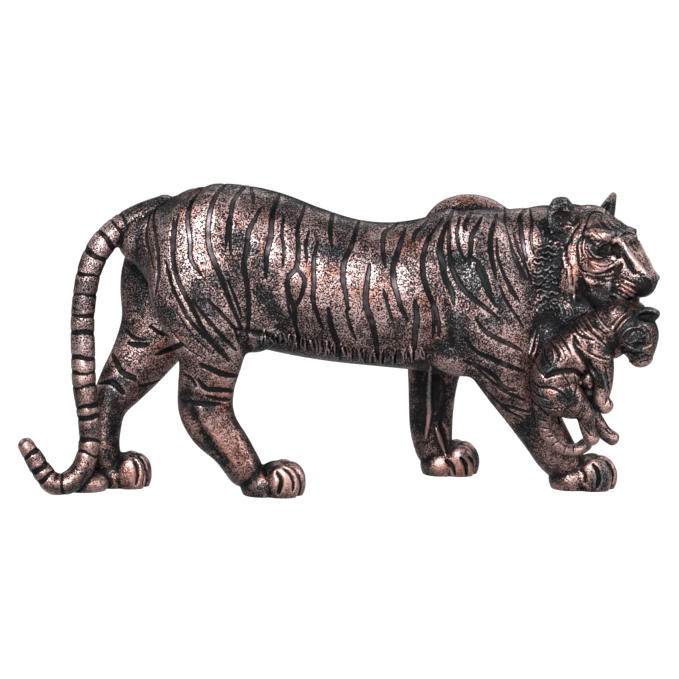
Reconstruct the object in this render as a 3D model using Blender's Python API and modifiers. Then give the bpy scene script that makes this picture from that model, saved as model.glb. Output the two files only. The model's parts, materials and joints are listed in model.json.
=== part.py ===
"""Tigress walking with her cub held in her jaws: a decorative statue cast in one piece.

Metres, +Z up, +X towards the tigress's nose, origin on the floor under the middle of the body.
The soles of the four paws and the underside of the tail's bend are cut flat at Z = 0.
"""

import math

import bmesh
import bpy
import numpy as np
from mathutils import Euler, Matrix, Vector
from mathutils.bvhtree import BVHTree
from mathutils.kdtree import KDTree

MM = 0.001

# Driving sizes, in millimetres
LENGTH = 444.0
WIDTH = 119.0
HEIGHT = 214.5
PAW_LENGTH = 48.0
PAW_WIDTH = 34.0
PAW_HEIGHT = 25.0
TAIL_DIAMETER = 17.0
EAR_HEIGHT = 28.0
EAR_WIDTH = 24.0
EAR_THICKNESS = 9.0

# How the casting is meshed, in millimetres
BODY_VOXEL = 2.2
SKIN_VOXEL = 1.3
RING_STEP = 3.0
RING_POINTS = 28
TRIANGLES = 11700
FINE_BEYOND = 150.0
FINE_WEIGHT = 0.01


def clear_scene():
    for obj in list(bpy.data.objects):
        bpy.data.objects.remove(obj, do_unlink=True)


def through(rows, step=RING_STEP):
    """The rows joined by a smooth curve and read again about every step along it."""
    rows = np.array(rows, float)
    chord = np.linalg.norm(np.diff(rows[:, :3], axis=0), axis=1)
    at = np.concatenate([[0.0], np.cumsum(chord)])
    slope = np.gradient(rows, at, axis=0)
    wanted = np.linspace(0.0, at[-1], max(3, int(at[-1] / step)) + 1)
    span = np.clip(np.searchsorted(at, wanted, side="right") - 1, 0, len(at) - 2)
    width = (at[span + 1] - at[span])[:, None]
    t = (wanted - at[span])[:, None] / width
    start, end = rows[span], rows[span + 1]
    lead, trail = slope[span] * width, slope[span + 1] * width
    return (
        (2 * t**3 - 3 * t**2 + 1) * start
        + (t**3 - 2 * t**2 + t) * lead
        + (-2 * t**3 + 3 * t**2) * end
        + (t**3 - t**2) * trail
    )


def limb(rows, across=(0, 1, 0), square=2.0):
    """A closed loft along rows of (x, y, z, half depth, half width), with rounded ends."""
    rows = through(rows)
    tangents = np.gradient(rows[:, :3], axis=0)
    tangents /= np.linalg.norm(tangents, axis=1)[:, None]
    across = np.array(across, float)
    rings = []

    def ring(centre, tangent, deep, wide):
        side = across - tangent * (across @ tangent)
        side /= np.linalg.norm(side)
        fore = np.cross(tangent, side)
        turn = np.linspace(0, 2 * math.pi, RING_POINTS, endpoint=False)
        c, s = np.cos(turn), np.sin(turn)
        c = np.sign(c) * np.abs(c) ** (2 / square)
        s = np.sign(s) * np.abs(s) ** (2 / square)
        rings.append(centre + np.outer(c * deep, fore) + np.outer(s * wide, side))

    def rounded_end(row, tangent, outward):
        reach = min(row[3], row[4]) * 0.8
        for degrees in (75, 60, 42, 22) if outward < 0 else (22, 42, 60, 75):
            a = math.radians(degrees)
            centre = row[:3] + tangent * outward * reach * math.sin(a)
            ring(centre, tangent, row[3] * math.cos(a), row[4] * math.cos(a))

    rounded_end(rows[0], tangents[0], -1)
    for row, tangent in zip(rows, tangents):
        ring(row[:3], tangent, row[3], row[4])
    rounded_end(rows[-1], tangents[-1], 1)

    bm = bmesh.new()
    loops = [[bm.verts.new(p) for p in points] for points in rings]
    for lower, upper in zip(loops, loops[1:]):
        for i in range(RING_POINTS):
            j = (i + 1) % RING_POINTS
            bm.faces.new((lower[i], lower[j], upper[j], upper[i]))
    bm.faces.new(list(reversed(loops[0])))
    bm.faces.new(loops[-1])
    bmesh.ops.recalc_face_normals(bm, faces=bm.faces)
    return bm


def lump(centre, radii, turn=(0, 0, 0)):
    """An ellipsoid of clay: its centre, three radii and its turn about X, Y and Z in degrees."""
    place = Matrix.Translation(centre) @ Euler([math.radians(a) for a in turn]).to_matrix().to_4x4()
    bm = bmesh.new()
    bmesh.ops.create_uvsphere(bm, u_segments=24, v_segments=16, radius=1.0)
    bmesh.ops.transform(bm, matrix=place @ Matrix.Diagonal((*radii, 1.0)), verts=bm.verts)
    return bm


def placed(bm, matrix):
    bmesh.ops.transform(bm, matrix=matrix, verts=bm.verts)
    return bm


def gathered(shapes):
    """Several closed shapes as one mesh, still overlapping."""
    whole = bmesh.new()
    for bm in shapes:
        mesh = bpy.data.meshes.new("shape")
        bm.to_mesh(mesh)
        bm.free()
        whole.from_mesh(mesh)
        bpy.data.meshes.remove(mesh)
    return whole


def fused(shapes, voxel, smoothing):
    """The shapes melted into one skin by a voxel remesh, then smoothed."""
    whole = gathered(shapes)
    mesh = bpy.data.meshes.new("clay")
    whole.to_mesh(mesh)
    whole.free()
    obj = bpy.data.objects.new("clay", mesh)
    bpy.context.scene.collection.objects.link(obj)
    remesh = obj.modifiers.new("melt", "REMESH")
    remesh.mode = "VOXEL"
    remesh.voxel_size = voxel
    if smoothing:
        smooth = obj.modifiers.new("smooth", "SMOOTH")
        smooth.factor = 0.5
        smooth.iterations = smoothing
    graph = bpy.context.evaluated_depsgraph_get()
    result = bmesh.new()
    evaluated = bpy.data.meshes.new_from_object(obj.evaluated_get(graph))
    result.from_mesh(evaluated)
    bpy.data.meshes.remove(evaluated)
    bpy.data.objects.remove(obj, do_unlink=True)
    bpy.data.meshes.remove(mesh)
    return result


# Trunk: rows of (x, y, z of the middle, half height, half width)
TRUNK = [
    (-140, 0, 178, 18, 18),
    (-122, 0, 174, 34, 32),
    (-105, 0, 168, 45, 38),
    (-88, 0, 165, 51, 40),
    (-62, 0, 158.5, 55.5, 40),
    (-30, 0, 148.8, 54.8, 40),
    (0, 0, 141.1, 52.6, 40),
    (30, 0, 136.6, 51.6, 40),
    (56, 0, 135.3, 53.8, 40),
    (77, 0, 136, 59, 38),
    (98, 0, 140, 59, 35),
    (117, -1, 148.5, 50.5, 32),
    (133, -3, 154.5, 43, 30),
    (150, -5, 157.5, 40, 29),
    (162, -6, 159.5, 36, 29),
]

# Legs: rows of (x, y, z, half depth, half width), from the hip or shoulder down to the ankle
NEAR_HIND = [
    (-97, -22, 185, 32, 17),
    (-95, -27, 150, 39, 20),
    (-92, -28, 116, 31, 18),
    (-91, -26, 96, 23, 15.5),
    (-94, -25, 77, 20, 13.5),
    (-94.5, -25, 61, 19.5, 12.5),
    (-92, -25, 48, 18, 12.5),
    (-79, -25, 31, 14.5, 13),
    (-67, -24, 16, 13, 13.5),
]
FAR_HIND = [
    (-105, 22, 182, 32, 17),
    (-119, 27, 145, 34, 19),
    (-126, 27, 112, 28, 17.5),
    (-139, 24, 89, 22, 14.5),
    (-153, 20, 70, 17.5, 12.5),
    (-162, 17, 56, 13.5, 12),
    (-165, 14, 40, 11.8, 12),
    (-166, 12, 24, 12, 13),
    (-163, 12, 14, 12, 13),
]
NEAR_FORE = [
    (93, -22, 172, 26, 14),
    (100, -26, 137, 33, 18),
    (109, -26, 104, 29, 18),
    (120, -25, 78, 23, 16),
    (131, -23, 58, 19, 14.5),
    (143, -21, 38, 16.5, 14),
    (153, -19, 22, 15, 14.5),
    (160, -18, 14, 13, 14),
]
FAR_FORE = [
    (84, 22, 182, 24, 13),
    (78, 27, 140, 30, 17),
    (73, 30, 98, 24, 16.5),
    (69.5, 33, 70, 18.5, 14),
    (68.5, 36, 48, 16.5, 13),
    (69, 38, 30, 15.5, 13),
    (71, 39, 16, 13.5, 13.5),
]

# Lumps of muscle on the trunk and legs: centre, radii, turn
MUSCLES = [
    ((-90, -22, 176), (36, 19, 36), (0, 20, 0)),
    ((-94, 21, 176), (34, 19, 35), (0, 20, 0)),
    ((-66, -27, 128), (24, 14, 30), (0, -30, 0)),
    ((94, 22, 180), (33, 14, 24), (0, 4, 0)),
    ((88, 25, 150), (34, 15, 46), (0, 6, 0)),
    ((138, 13, 150), (36, 18, 33), (0, 10, 0)),
    ((160, 14, 146), (20, 18, 26), (0, 0, 0)),
    ((148, 9, 174), (34, 19, 23), (0, 4, 0)),
    ((132, 20, 178), (22, 12, 16), (0, 0, 0)),
    ((170, -30, 130), (13, 13, 12), (0, 0, 0)),
    ((92, -23, 170), (32, 15, 25), (0, 10, 0)),
    ((86, -27, 128), (30, 15, 34), (0, 15, 0)),
    ((82, -24, 98), (22, 14, 17), (0, 10, 0)),
    ((140, -14, 132), (24, 22, 28), (0, 30, 0)),
    ((158, -22, 126), (18, 18, 20), (0, 30, 0)),
    ((144, -24, 108), (16, 14, 20), (0, 20, 0)),
]

# Tail: rows of (x, y, z, share of the tail's radius)
TAIL = [
    (-120, 0, 196, 1.35),
    (-138, -1, 191, 1.20),
    (-153, -2, 183.5, 1.10),
    (-166, -4, 171.5, 1.05),
    (-174.2, -6, 156.5, 1.0),
    (-178.4, -7, 141, 0.98),
    (-180.5, -8, 121, 0.98),
    (-180.5, -9, 100, 1.0),
    (-180.2, -10, 79, 1.0),
    (-177.8, -11, 58, 0.96),
    (-176, -12, 41, 0.90),
    (-176.8, -13, 28, 0.88),
    (-181.5, -14, 16, 0.92),
    (-190, -15, 8.2, 0.95),
    (-200, -16, 7.4, 0.92),
    (-207.5, -16, 15.5, 0.86),
    (-214.3, -16, 27, 0.78),
    (-219.5, -16, 35.5, 0.66),
]


def tail():
    radius = TAIL_DIAMETER / 2
    return limb([(x, y, z, share * radius, share * radius) for x, y, z, share in TAIL])


def paw(x, y, heading=0, share=1.0):
    """One paw on the floor: a pad and four toes, from the heel at x towards +X."""
    half = PAW_WIDTH / 2
    length = PAW_LENGTH * share
    shapes = [
        lump((length * 0.36, 0, PAW_HEIGHT * 0.26), (length * 0.36, half * 0.90, PAW_HEIGHT * 0.56)),
        lump((length * 0.56, 0, PAW_HEIGHT * 0.34), (length * 0.34, half * 0.94, PAW_HEIGHT * 0.60)),
    ]
    for across, ahead in ((-0.70, 0.66), (-0.25, 0.76), (0.25, 0.76), (0.70, 0.66)):
        centre = (length * ahead, across * half, PAW_HEIGHT * 0.34)
        shapes.append(lump(centre, (length * 0.245, half * 0.33, PAW_HEIGHT * 0.56)))
    turn = Matrix.Translation((x, y, 0)) @ Matrix.Rotation(math.radians(heading), 4, "Z")
    return [placed(bm, turn) for bm in shapes]


# Paws: heel x, middle y, heading in degrees, share of the paw's length
PAWS = [
    (-71, -24, -3, 0.95),
    (-174, 12, 0, 0.87),
    (146, -18, -2, 1.0),
    (61, 37, 3, 0.88),
]

# Head: its own frame has its origin in the skull, x to the nose and y to the far side
HEAD_PLACE = (179.0, -14.9, 166.0)
HEAD_TURN = (-2.0, 12.0, -40.0)

SKULL = [
    (-42, 0, -5, 26, 25),
    (-33, 0, -4, 30, 30),
    (-20, 0, -3, 31, 32),
    (-8, 0, -2, 31, 30),
    (4, 0, -2, 29, 26.5),
    (14, 0, -3, 24.5, 22),
    (21, 0, -4.5, 20.5, 18),
    (28, 0, -6.5, 17, 14.5),
    (35, 0, -9, 13.5, 12.5),
    (41, 0, -10.5, 10.5, 10.5),
]
# Lumps of the head: centre, radii, turn; a row marked 1 is made on both sides
FACE = [
    ((12, 0, 13), (18, 15, 9), (0, 22, 0), 0),
    ((11.5, -12, 16), (9.5, 7.5, 5.5), (20, 14, 22), 1),
    ((17, -9, 15.5), (7, 7.5, 5), (0, 30, 0), 1),
    ((26, 0, 3.0), (16.5, 5.5, 6), (0, 40, 0), 0),
    ((24.5, 0, -0.5), (14.5, 8, 9), (0, 34, 0), 0),
    ((-11, 2, 13.5), (18, 20, 17.5), (0, 0, 0), 0),
    ((19, -14, -15), (12, 7.5, 11), (0, 0, -30), 1),
    ((30.5, -8.5, -14), (10.5, 7.8, 8.4), (0, 12, -12), 1),
    ((3, -16.5, -7), (20, 10, 17), (0, 20, -22), 1),
    ((10, -15, -24), (20, 10, 11), (0, 10, -20), 1),
    ((-9, -22, -18), (16, 11, 25), (0, 6, -14), 1),
    ((-16, -20, -32), (16, 12, 15), (0, 10, -8), 1),
    ((-29, -20, -22), (14, 13, 26), (0, 6, 0), 1),
    ((6, 0, -31), (30, 14, 10), (0, -2, 0), 0),
    ((32, 0, -30), (9, 7.5, 6.5), (0, 0, 0), 0),
    ((24, -11, -24), (12, 8, 8), (0, 0, -15), 1),
]
FEATURES = [
    ((40.4, 0, -5.4), (4.2, 6.3, 4.2), (0, 35, 0), 0),
    ((38.0, 0, -12), (4.2, 6.4, 7), (0, 12, 0), 0),
]
# Ears: where the middle of each stands and its turn, and its rows from the root to the tip as
# (across, up, thickness, width) in shares of the ear's width, height, thickness and width
NEAR_EAR = [(0, -0.36, 0.50, 0.44), (0, 0, 0.48, 0.47), (0, 0.21, 0.42, 0.40), (0, 0.375, 0.33, 0.27)]
FAR_EAR = [(-0.17, -0.43, 0.55, 0.67), (-0.08, -0.07, 0.48, 0.50), (0.04, 0.21, 0.38, 0.32), (0.17, 0.49, 0.24, 0.13)]
EARS = [(NEAR_EAR, (-20, -25.5, 23.0), (14, -10, -38)), (FAR_EAR, (-12, 24.5, 23.5), (-12, -8, 4))]


def both_sides(rows):
    shapes = []
    for centre, radii, turn, both in rows:
        shapes.append(lump(centre, radii, turn))
        if both:
            shapes.append(lump((centre[0], -centre[1], centre[2]), radii, (-turn[0], turn[1], -turn[2])))
    return shapes


def head():
    shapes = [fused([limb(SKULL), *both_sides(FACE)], SKIN_VOXEL, 15), *both_sides(FEATURES)]
    for shares, centre, turn in EARS:
        rows = [
            (0, y * EAR_WIDTH, z * EAR_HEIGHT, thick * EAR_THICKNESS, wide * EAR_WIDTH)
            for y, z, thick, wide in shares
        ]
        stand = Matrix.Translation(centre) @ Euler([math.radians(a) for a in turn]).to_matrix().to_4x4()
        shapes.append(placed(limb(rows), stand))
    turn = Euler([math.radians(a) for a in HEAD_TURN]).to_matrix().to_4x4()
    return [placed(bm, Matrix.Translation(HEAD_PLACE) @ turn) for bm in shapes]


# Cub: rows of (x, y, z, half depth, half width)
CUB_TRUNK = [
    (190, -44, 122, 15, 12),
    (178, -45, 114, 17, 13.5),
    (165, -46, 105, 18, 14),
    (152, -47, 95, 17, 14.5),
    (145, -48, 81, 17, 14),
    (143, -48, 71, 14, 12),
]
CUB_NEAR_ARM = [
    (170, -51, 115, 11, 8.5),
    (174, -53, 102, 10.5, 8.5),
    (177, -54, 90, 8.5, 7.5),
    (178, -54, 79, 6.5, 6.2),
    (177, -54, 69, 5.6, 5.8),
    (180, -54, 64, 5.8, 6),
]
CUB_FAR_ARM = [
    (176, -40, 112, 10, 7),
    (177, -39, 97, 8, 6.5),
    (172, -39, 84, 6, 5.5),
    (167, -40, 77, 5.5, 5.5),
]
CUB_NEAR_HIND = [
    (144, -52, 84, 14, 8),
    (147, -54, 74, 15.5, 9),
    (156, -54, 67, 12, 8.5),
    (165, -53, 60, 7.2, 7),
    (168, -52, 49, 5.4, 5.6),
    (171, -52, 41, 5.6, 6),
]
CUB_FAR_HIND = [
    (156, -41, 72, 11, 7),
    (168, -40, 62, 8, 6.5),
    (176, -39, 51, 5.6, 5.4),
    (183, -39, 42, 5, 5.4),
    (188, -39, 38.5, 5, 6),
]
CUB_TAIL = [
    (137, -45, 64, 6.5, 6),
    (138, -44, 54, 5.2, 5.2),
    (140.5, -43, 45, 4.6, 4.8),
    (147, -41, 36.5, 4.4, 4.8),
    (156, -38, 31, 4.4, 5),
    (164, -35, 30.5, 4.6, 5),
    (170, -32, 33.5, 4.8, 5),
]
CUB_SKULL = [
    (188, -44, 126, 13, 13),
    (196, -46, 119, 16.5, 15.5),
    (202, -47, 111, 16, 15.5),
    (204, -48, 103, 12, 12.5),
    (205, -48, 97, 8.5, 9.5),
]


def cub():
    rows = (CUB_TRUNK, CUB_NEAR_ARM, CUB_FAR_ARM, CUB_NEAR_HIND, CUB_FAR_HIND, CUB_TAIL, CUB_SKULL)
    shapes = [limb(each) for each in rows]
    shapes.append(lump((170, -46, 83), (9, 9, 8)))
    shapes.append(lump((171, -44, 73), (6, 7, 8)))
    shapes.append(lump((160, -38, 70), (8, 8, 10)))
    shapes.append(lump((186, -45, 108), (10, 10, 12)))
    shapes.append(lump((206, -52.5, 127), (11.5, 5, 6.5), (25, -4, 10)))
    shapes.append(lump((203, -33, 128), (8, 4, 6.5), (-20, 10, 0)))
    shapes.append(lump((205, -51.5, 97.5), (6, 5, 5.5)))
    shapes.append(lump((203, -44.5, 97.5), (6, 5, 5.5)))
    return shapes


# All carving is drawn on the side view of a carver who stands 2 m away, 4 degrees behind and
# 9 degrees above, as points (across, up) at the middle of the statue. These forms are pushed up
# where positive and pressed in where negative: height, half width, stroke
SIDE_VIEW = (-4.0, 9.0)
VIEW_DISTANCE = 2000.0
VIEW_HEIGHT = 104.3
FACE_FORMS = [
    (-4.2, 7.5, [(185.1, 165.7), (190.0, 166.3)]),
    (-3.2, 5.0, [(194.2, 168.4), (195.6, 162.2)]),
    (2.6, 5.5, [(172.5, 176.8), (178.8, 176.8), (185.1, 176.1), (191.4, 176.8)]),
    (1.5, 5.0, [(176.0, 157.2), (183.8, 154.4), (191.4, 155.2)]),
    (-1.4, 3.5, [(197.8, 155.8), (194.2, 149.6), (192.1, 142.6), (191.4, 135.6)]),
    (1.8, 3.2, [(199.1, 171.9), (203.3, 164.2), (208.9, 156.6), (214.5, 150.2), (218.8, 144.7)]),
    (-1.5, 3.0, [(198.4, 162.8), (201.9, 155.8), (207.5, 149.6)]),
    (-2.0, 3.5, [(190.8, 132.8), (196.3, 128.6), (203.3, 127.8), (208.2, 129.2)]),
    (1.5, 4.0, [(197.8, 141.8), (203.3, 137.7)]),
    (-1.6, 4.0, [(172.5, 147.4), (178.1, 145.3), (185.1, 144.7)]),
]
FACE_LINES = [
    (-1.0, 1.6, [(179.5, 192.6), (175.3, 190.1), (173.9, 186.6), (171.8, 181.8), (169.8, 176.1), (166.9, 169.8), (166.6, 164.9), (166.9, 160.1), (168.3, 154.4), (170.4, 150.9), (173.9, 150.2), (179.5, 148.5), (185.1, 149.6), (190.8, 151.7), (195.6, 153.8)]),
    (-1.0, 1.6, [(168.3, 183.8), (164.1, 178.2), (161.0, 171.2), (157.8, 166.3), (155.8, 161.4)]),
    (-0.8, 1.6, [(173.9, 168.4), (174.6, 164.9), (176.8, 162.2), (180.2, 159.3), (185.1, 160.1)]),
    (-0.7, 1.6, [(173.2, 162.8), (176.0, 158.7), (179.5, 155.2), (183.0, 153.8), (188.6, 155.2), (193.5, 157.9)]),
    (-0.7, 1.6, [(196.3, 146.1), (193.5, 140.4), (194.2, 135.6)]),
    (-0.6, 1.6, [(185.1, 179.6), (186.5, 176.8), (188.6, 173.3)]),
    (0.8, 1.6, [(211.8, 147.4), (215.9, 146.1), (218.8, 142.9), (219.4, 141.2)]),
    (2.4, 3.4, [(189.0, 166.3)]),
]
EAR_FORMS = [
    (-3.2, 8.0, [(154.3, 190.8), (157.1, 185.2)]),
    (-2.2, 4.0, [(185.1, 196.4), (188.6, 198.6), (187.2, 192.9)]),
    (-1.5, 2.5, [(143.8, 182.4), (146.6, 175.4), (152.2, 172.6)]),
]
LEG_FORMS = [
    (-2.6, 3.0, [(-44.4, 10.2), (-41.3, 4.7), (-41.6, -0.9), (-43.0, -5.1)]),
    (-2.4, 2.6, [(-38.8, 13.1), (-33.9, 8.2), (-31.8, 2.6), (-32.5, -3.0)]),
    (-1.2, 2.4, [(-54.2, 13.1), (-51.4, 7.5)]),
    (-2.6, 3.0, [(177.4, 15.9), (180.9, 10.2), (181.6, 4.7), (180.2, -0.9)]),
    (-2.4, 2.6, [(186.5, 18.7), (190.0, 13.8), (191.4, 8.2), (190.0, 1.2)]),
    (-1.2, 2.2, [(169.0, 13.1), (171.8, 7.5), (171.8, 2.6)]),
    (-2.2, 2.6, [(74.5, 18.7), (78.8, 14.5), (80.8, 7.5)]),
    (-2.2, 2.4, [(85.0, 20.1), (88.5, 15.2), (89.2, 7.5)]),
    (-1.6, 2.2, [(90.6, 20.8), (94.1, 16.6), (94.1, 10.2)]),
    (-2.2, 2.6, [(-146.6, 22.2), (-142.4, 16.6), (-141.0, 8.9), (-142.4, 1.2)]),
    (-1.8, 2.2, [(-142.4, 23.6), (-138.2, 18.0), (-136.1, 10.2), (-137.5, 1.2)]),
    (1.6, 2.4, [(67.5, 41.1), (70.3, 32.7), (74.5, 21.5)]),
    (-2.0, 3.4, [(70.3, 43.9), (73.8, 35.5), (75.9, 27.1)]),
    (1.4, 3.0, [(64.0, 84.5), (62.6, 67.7), (62.6, 50.9), (60.5, 34.1)]),
    (-1.4, 4.0, [(68.2, 80.2), (67.5, 66.2), (66.8, 52.2)]),
    (-1.2, 3.5, [(-104.6, 60.7), (-100.4, 46.7), (-92.0, 32.7), (-82.2, 20.1)]),
    (1.2, 4.0, [(-98.3, 57.9), (-92.8, 43.9), (-82.9, 29.9), (-72.4, 15.9)]),
    (-1.5, 3.0, [(-169.0, 72.2), (-159.9, 73.2), (-150.8, 64.8)]),
    (-2.6, 6.0, [(74.5, 130.7), (76.6, 113.2), (78.8, 98.5)]),
    (-2.2, 6.0, [(-71.0, 109.7), (-64.8, 95.7), (-62.6, 87.2)]),
    (-1.6, 4.0, [(-72.4, 109.7), (-54.2, 106.8), (-38.1, 100.5)]),
    (1.2, 5.0, [(-52.1, 109.7), (-38.1, 105.5), (-27.6, 99.2)]),
]
CUB_FORMS = [
    (-2.0, 4.0, [(164.1, 105.5), (166.2, 97.8), (172.5, 88.0), (180.2, 77.5)]),
    (-1.6, 3.5, [(143.8, 76.8), (150.1, 79.5), (158.5, 81.0), (166.2, 80.2), (171.1, 76.0)]),
    (-3.0, 4.2, [(210.3, 118.8), (215.9, 119.5), (220.8, 119.5)]),
    (-1.6, 3.5, [(208.9, 98.5), (212.4, 99.8)]),
    (-1.5, 2.6, [(200.5, 94.2), (206.1, 92.2), (211.8, 93.5)]),
    (1.6, 3.0, [(168.3, 72.5)]),
    (1.6, 2.6, [(175.3, 69.8)]),
]
CUB_LINES = [
    (-0.9, 1.6, [(169.0, 120.2), (171.8, 115.2), (176.0, 109.0), (183.8, 102.0), (187.9, 97.0)]),
    (-0.9, 1.6, [(163.4, 112.8), (167.6, 106.8), (174.6, 103.3), (179.2, 102.7)]),
    (-0.9, 1.6, [(164.8, 103.3), (170.4, 96.3), (179.2, 91.5), (188.6, 88.7)]),
    (-0.9, 1.6, [(153.6, 106.8), (157.8, 100.5), (162.8, 92.8)]),
    (-0.9, 1.6, [(146.6, 102.0), (151.5, 96.3), (153.6, 90.8), (152.9, 87.2)]),
    (-1.0, 1.6, [(135.4, 73.2), (140.3, 69.8), (148.8, 69.1), (155.0, 66.2), (159.9, 60.7), (161.3, 59.2)]),
    (-0.9, 1.6, [(133.3, 69.8), (138.9, 64.2), (145.9, 61.4)]),
    (-0.9, 1.6, [(134.8, 64.2), (140.3, 57.2), (150.1, 54.4), (157.1, 55.1)]),
]

# Stripes: the widest half width of the groove, then the stroke
STRIPES = [
    (1.8, [(-117, 183), (-118, 166), (-114, 146), (-104, 125), (-91, 101), (-78, 88)]),
    (2.0, [(-93, 212), (-101, 204), (-105, 191), (-105, 172), (-104, 160), (-97, 148)]),
    (2.2, [(-81, 211), (-87, 204), (-90, 195), (-92, 183), (-92, 168), (-87, 155), (-82, 141), (-76, 128), (-69, 110)]),
    (1.8, [(-69, 208), (-75, 199), (-76, 190), (-79, 181), (-80, 168)]),
    (2.2, [(-58, 190), (-64, 179), (-65, 168), (-67, 154), (-65, 141), (-64, 123), (-65, 105)]),
    (2.4, [(-44, 200), (-47, 192), (-48, 177), (-51, 163), (-52, 146)]),
    (2.0, [(-26, 193), (-29, 182), (-29, 168), (-31, 153), (-36, 145), (-36, 137), (-32, 125), (-30, 106), (-29, 96)]),
    (1.6, [(-31, 153), (-26, 145), (-26, 137), (-32, 125)]),
    (2.0, [(-15, 172), (-18, 159), (-18, 141), (-19, 132), (-15, 119), (-12, 110)]),
    (1.8, [(-5, 188), (-7, 179), (-6, 168)]),
    (2.2, [(-8, 125), (-6, 110), (-1, 97), (0, 89)]),
    (2.2, [(12, 182), (8, 170), (3, 157), (2, 146), (4, 134), (6, 124)]),
    (2.6, [(21, 156), (19, 143), (18, 128), (22, 115), (25, 102), (27, 91)]),
    (1.8, [(38, 182), (32, 178), (30, 170), (31, 160), (32, 154)]),
    (2.4, [(44, 176), (41, 165), (37, 152), (38, 143), (41, 133), (44, 122), (48, 116)]),
    (1.8, [(57, 182), (53, 178), (51, 172)]),
    (2.6, [(52, 130), (54, 118), (53, 106), (53, 96)]),
    (2.2, [(68, 182), (62, 173), (58, 160), (59, 146), (62, 134), (67, 124), (69, 112), (69, 106)]),
    (2.8, [(78, 190), (73, 181), (70, 170), (72, 155), (73, 146), (78, 136), (80, 128)]),
    (2.0, [(77, 181), (77, 166), (80, 151), (85, 140), (93, 132), (106, 122), (112, 117)]),
    (2.0, [(97, 184), (93, 176), (92, 167), (91, 155)]),
    (2.2, [(109, 186), (106, 176), (106, 165), (108, 153), (109, 146)]),
    (1.8, [(95, 155), (100, 145), (104, 136), (109, 126)]),
    (1.8, [(95, 117), (101, 109), (108, 105), (120, 99), (127, 95)]),
    (1.8, [(88, 104), (93, 96), (110, 88), (128, 81)]),
    (1.8, [(87, 88), (101, 81), (108, 77), (115, 70), (123, 67)]),
    (2.2, [(129, 193), (126, 189), (127, 181), (129, 166), (131, 159)]),
    (1.8, [(122, 163), (127, 152), (131, 145)]),
    (1.8, [(109, 184), (107, 177), (108, 161), (110, 147)]),
    (1.8, [(116, 147), (120, 137), (124, 131)]),
    (2.0, [(-99, 86), (-85, 82), (-72, 77)]),
    (2.0, [(-101, 73), (-92, 68), (-75, 65)]),
    (1.8, [(-109, 60), (-94, 58), (-80, 55)]),
]
STRIPE_DEPTH = 1.0
MIRRORED_ABOVE = 88.0

# Rings round the tail: their middles on the side view
RING_HALF_WIDTH = 1.8
TAIL_RINGS = [
    (-149.5, 183.2), (-155.1, 179.0), (-162.1, 172.0), (-170.5, 162.2), (-174.7, 148.9),
    (-178.2, 134.9), (-181.0, 119.5), (-180.3, 108.3), (-180.3, 90.8), (-177.5, 81.0),
    (-176.1, 71.9), (-176.1, 57.2), (-176.1, 48.8), (-175.4, 32.7), (-178.9, 24.3),
    (-195.0, 7.5), (-202.0, 8.9), (-208.3, 14.5), (-216.0, 24.3),
]


def view_axes(azimuth, elevation):
    a, e = math.radians(azimuth), math.radians(elevation)
    toward = Vector((math.sin(a) * math.cos(e), -math.cos(a) * math.cos(e), math.sin(e)))
    right = Vector((math.cos(a), math.sin(a), 0))
    return right, toward.cross(right), toward


def sight(x, z):
    """The ray through a point drawn on the side view: its start and direction."""
    right, up, toward = view_axes(*SIDE_VIEW)
    aim = Vector((0, 0, VIEW_HEIGHT))
    eye = aim + toward * VIEW_DISTANCE
    drawn = right * x + up * z + toward * toward.dot(aim)
    return eye, (drawn - eye).normalized()


def stroke_points(tree, half_width, drawn, mirror=None):
    """Points close together along one drawn line, laid on the skin: (place, normal, half width).

    A mirror is a plane, as a point and a normal, in which the line is laid on the far side."""
    rows = through([(x, z, 0) for x, z in drawn], 0.7) if len(drawn) > 1 else [(*drawn[0], 0)]
    found = []
    for i, (x, z, _) in enumerate(rows):
        start, aim = sight(x, z)
        if mirror:
            start -= mirror[1] * (2 * (start - mirror[0]).dot(mirror[1]))
            aim -= mirror[1] * (2 * aim.dot(mirror[1]))
        place, normal, _, _ = tree.ray_cast(start, aim)
        if place is None or (mirror and (place - mirror[0]).dot(mirror[1]) < -1):
            continue
        along = (i + 0.5) / len(rows)
        found.append((place, normal, half_width * (0.3 + 0.7 * math.sin(math.pi * along) ** 0.5)))
    return found


def modelled(skin, forms, mirror=None):
    """The forms pushed up or pressed in with a soft edge, and again in the mirror if one is given."""
    tree = BVHTree.FromBMesh(skin)
    skin.normal_update()
    skin.verts.ensure_lookup_table()
    index = KDTree(len(skin.verts))
    for i, vert in enumerate(skin.verts):
        index.insert(vert.co, i)
    index.balance()
    lift = [0.0] * len(skin.verts)
    for height, half_width, drawn in forms:
        share = {}
        marks = stroke_points(tree, half_width, drawn)
        if mirror:
            marks += stroke_points(tree, half_width, drawn, mirror)
        for place, normal, reach in marks:
            for _, i, distance in index.find_range(place, reach):
                if skin.verts[i].normal.dot(normal) > 0:
                    share[i] = max(share.get(i, 0), (1 - (distance / reach) ** 2) ** 2)
        for i, most in share.items():
            lift[i] += height * most
    for vert, height in zip(skin.verts, lift):
        vert.co += vert.normal * height
    return skin


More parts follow.
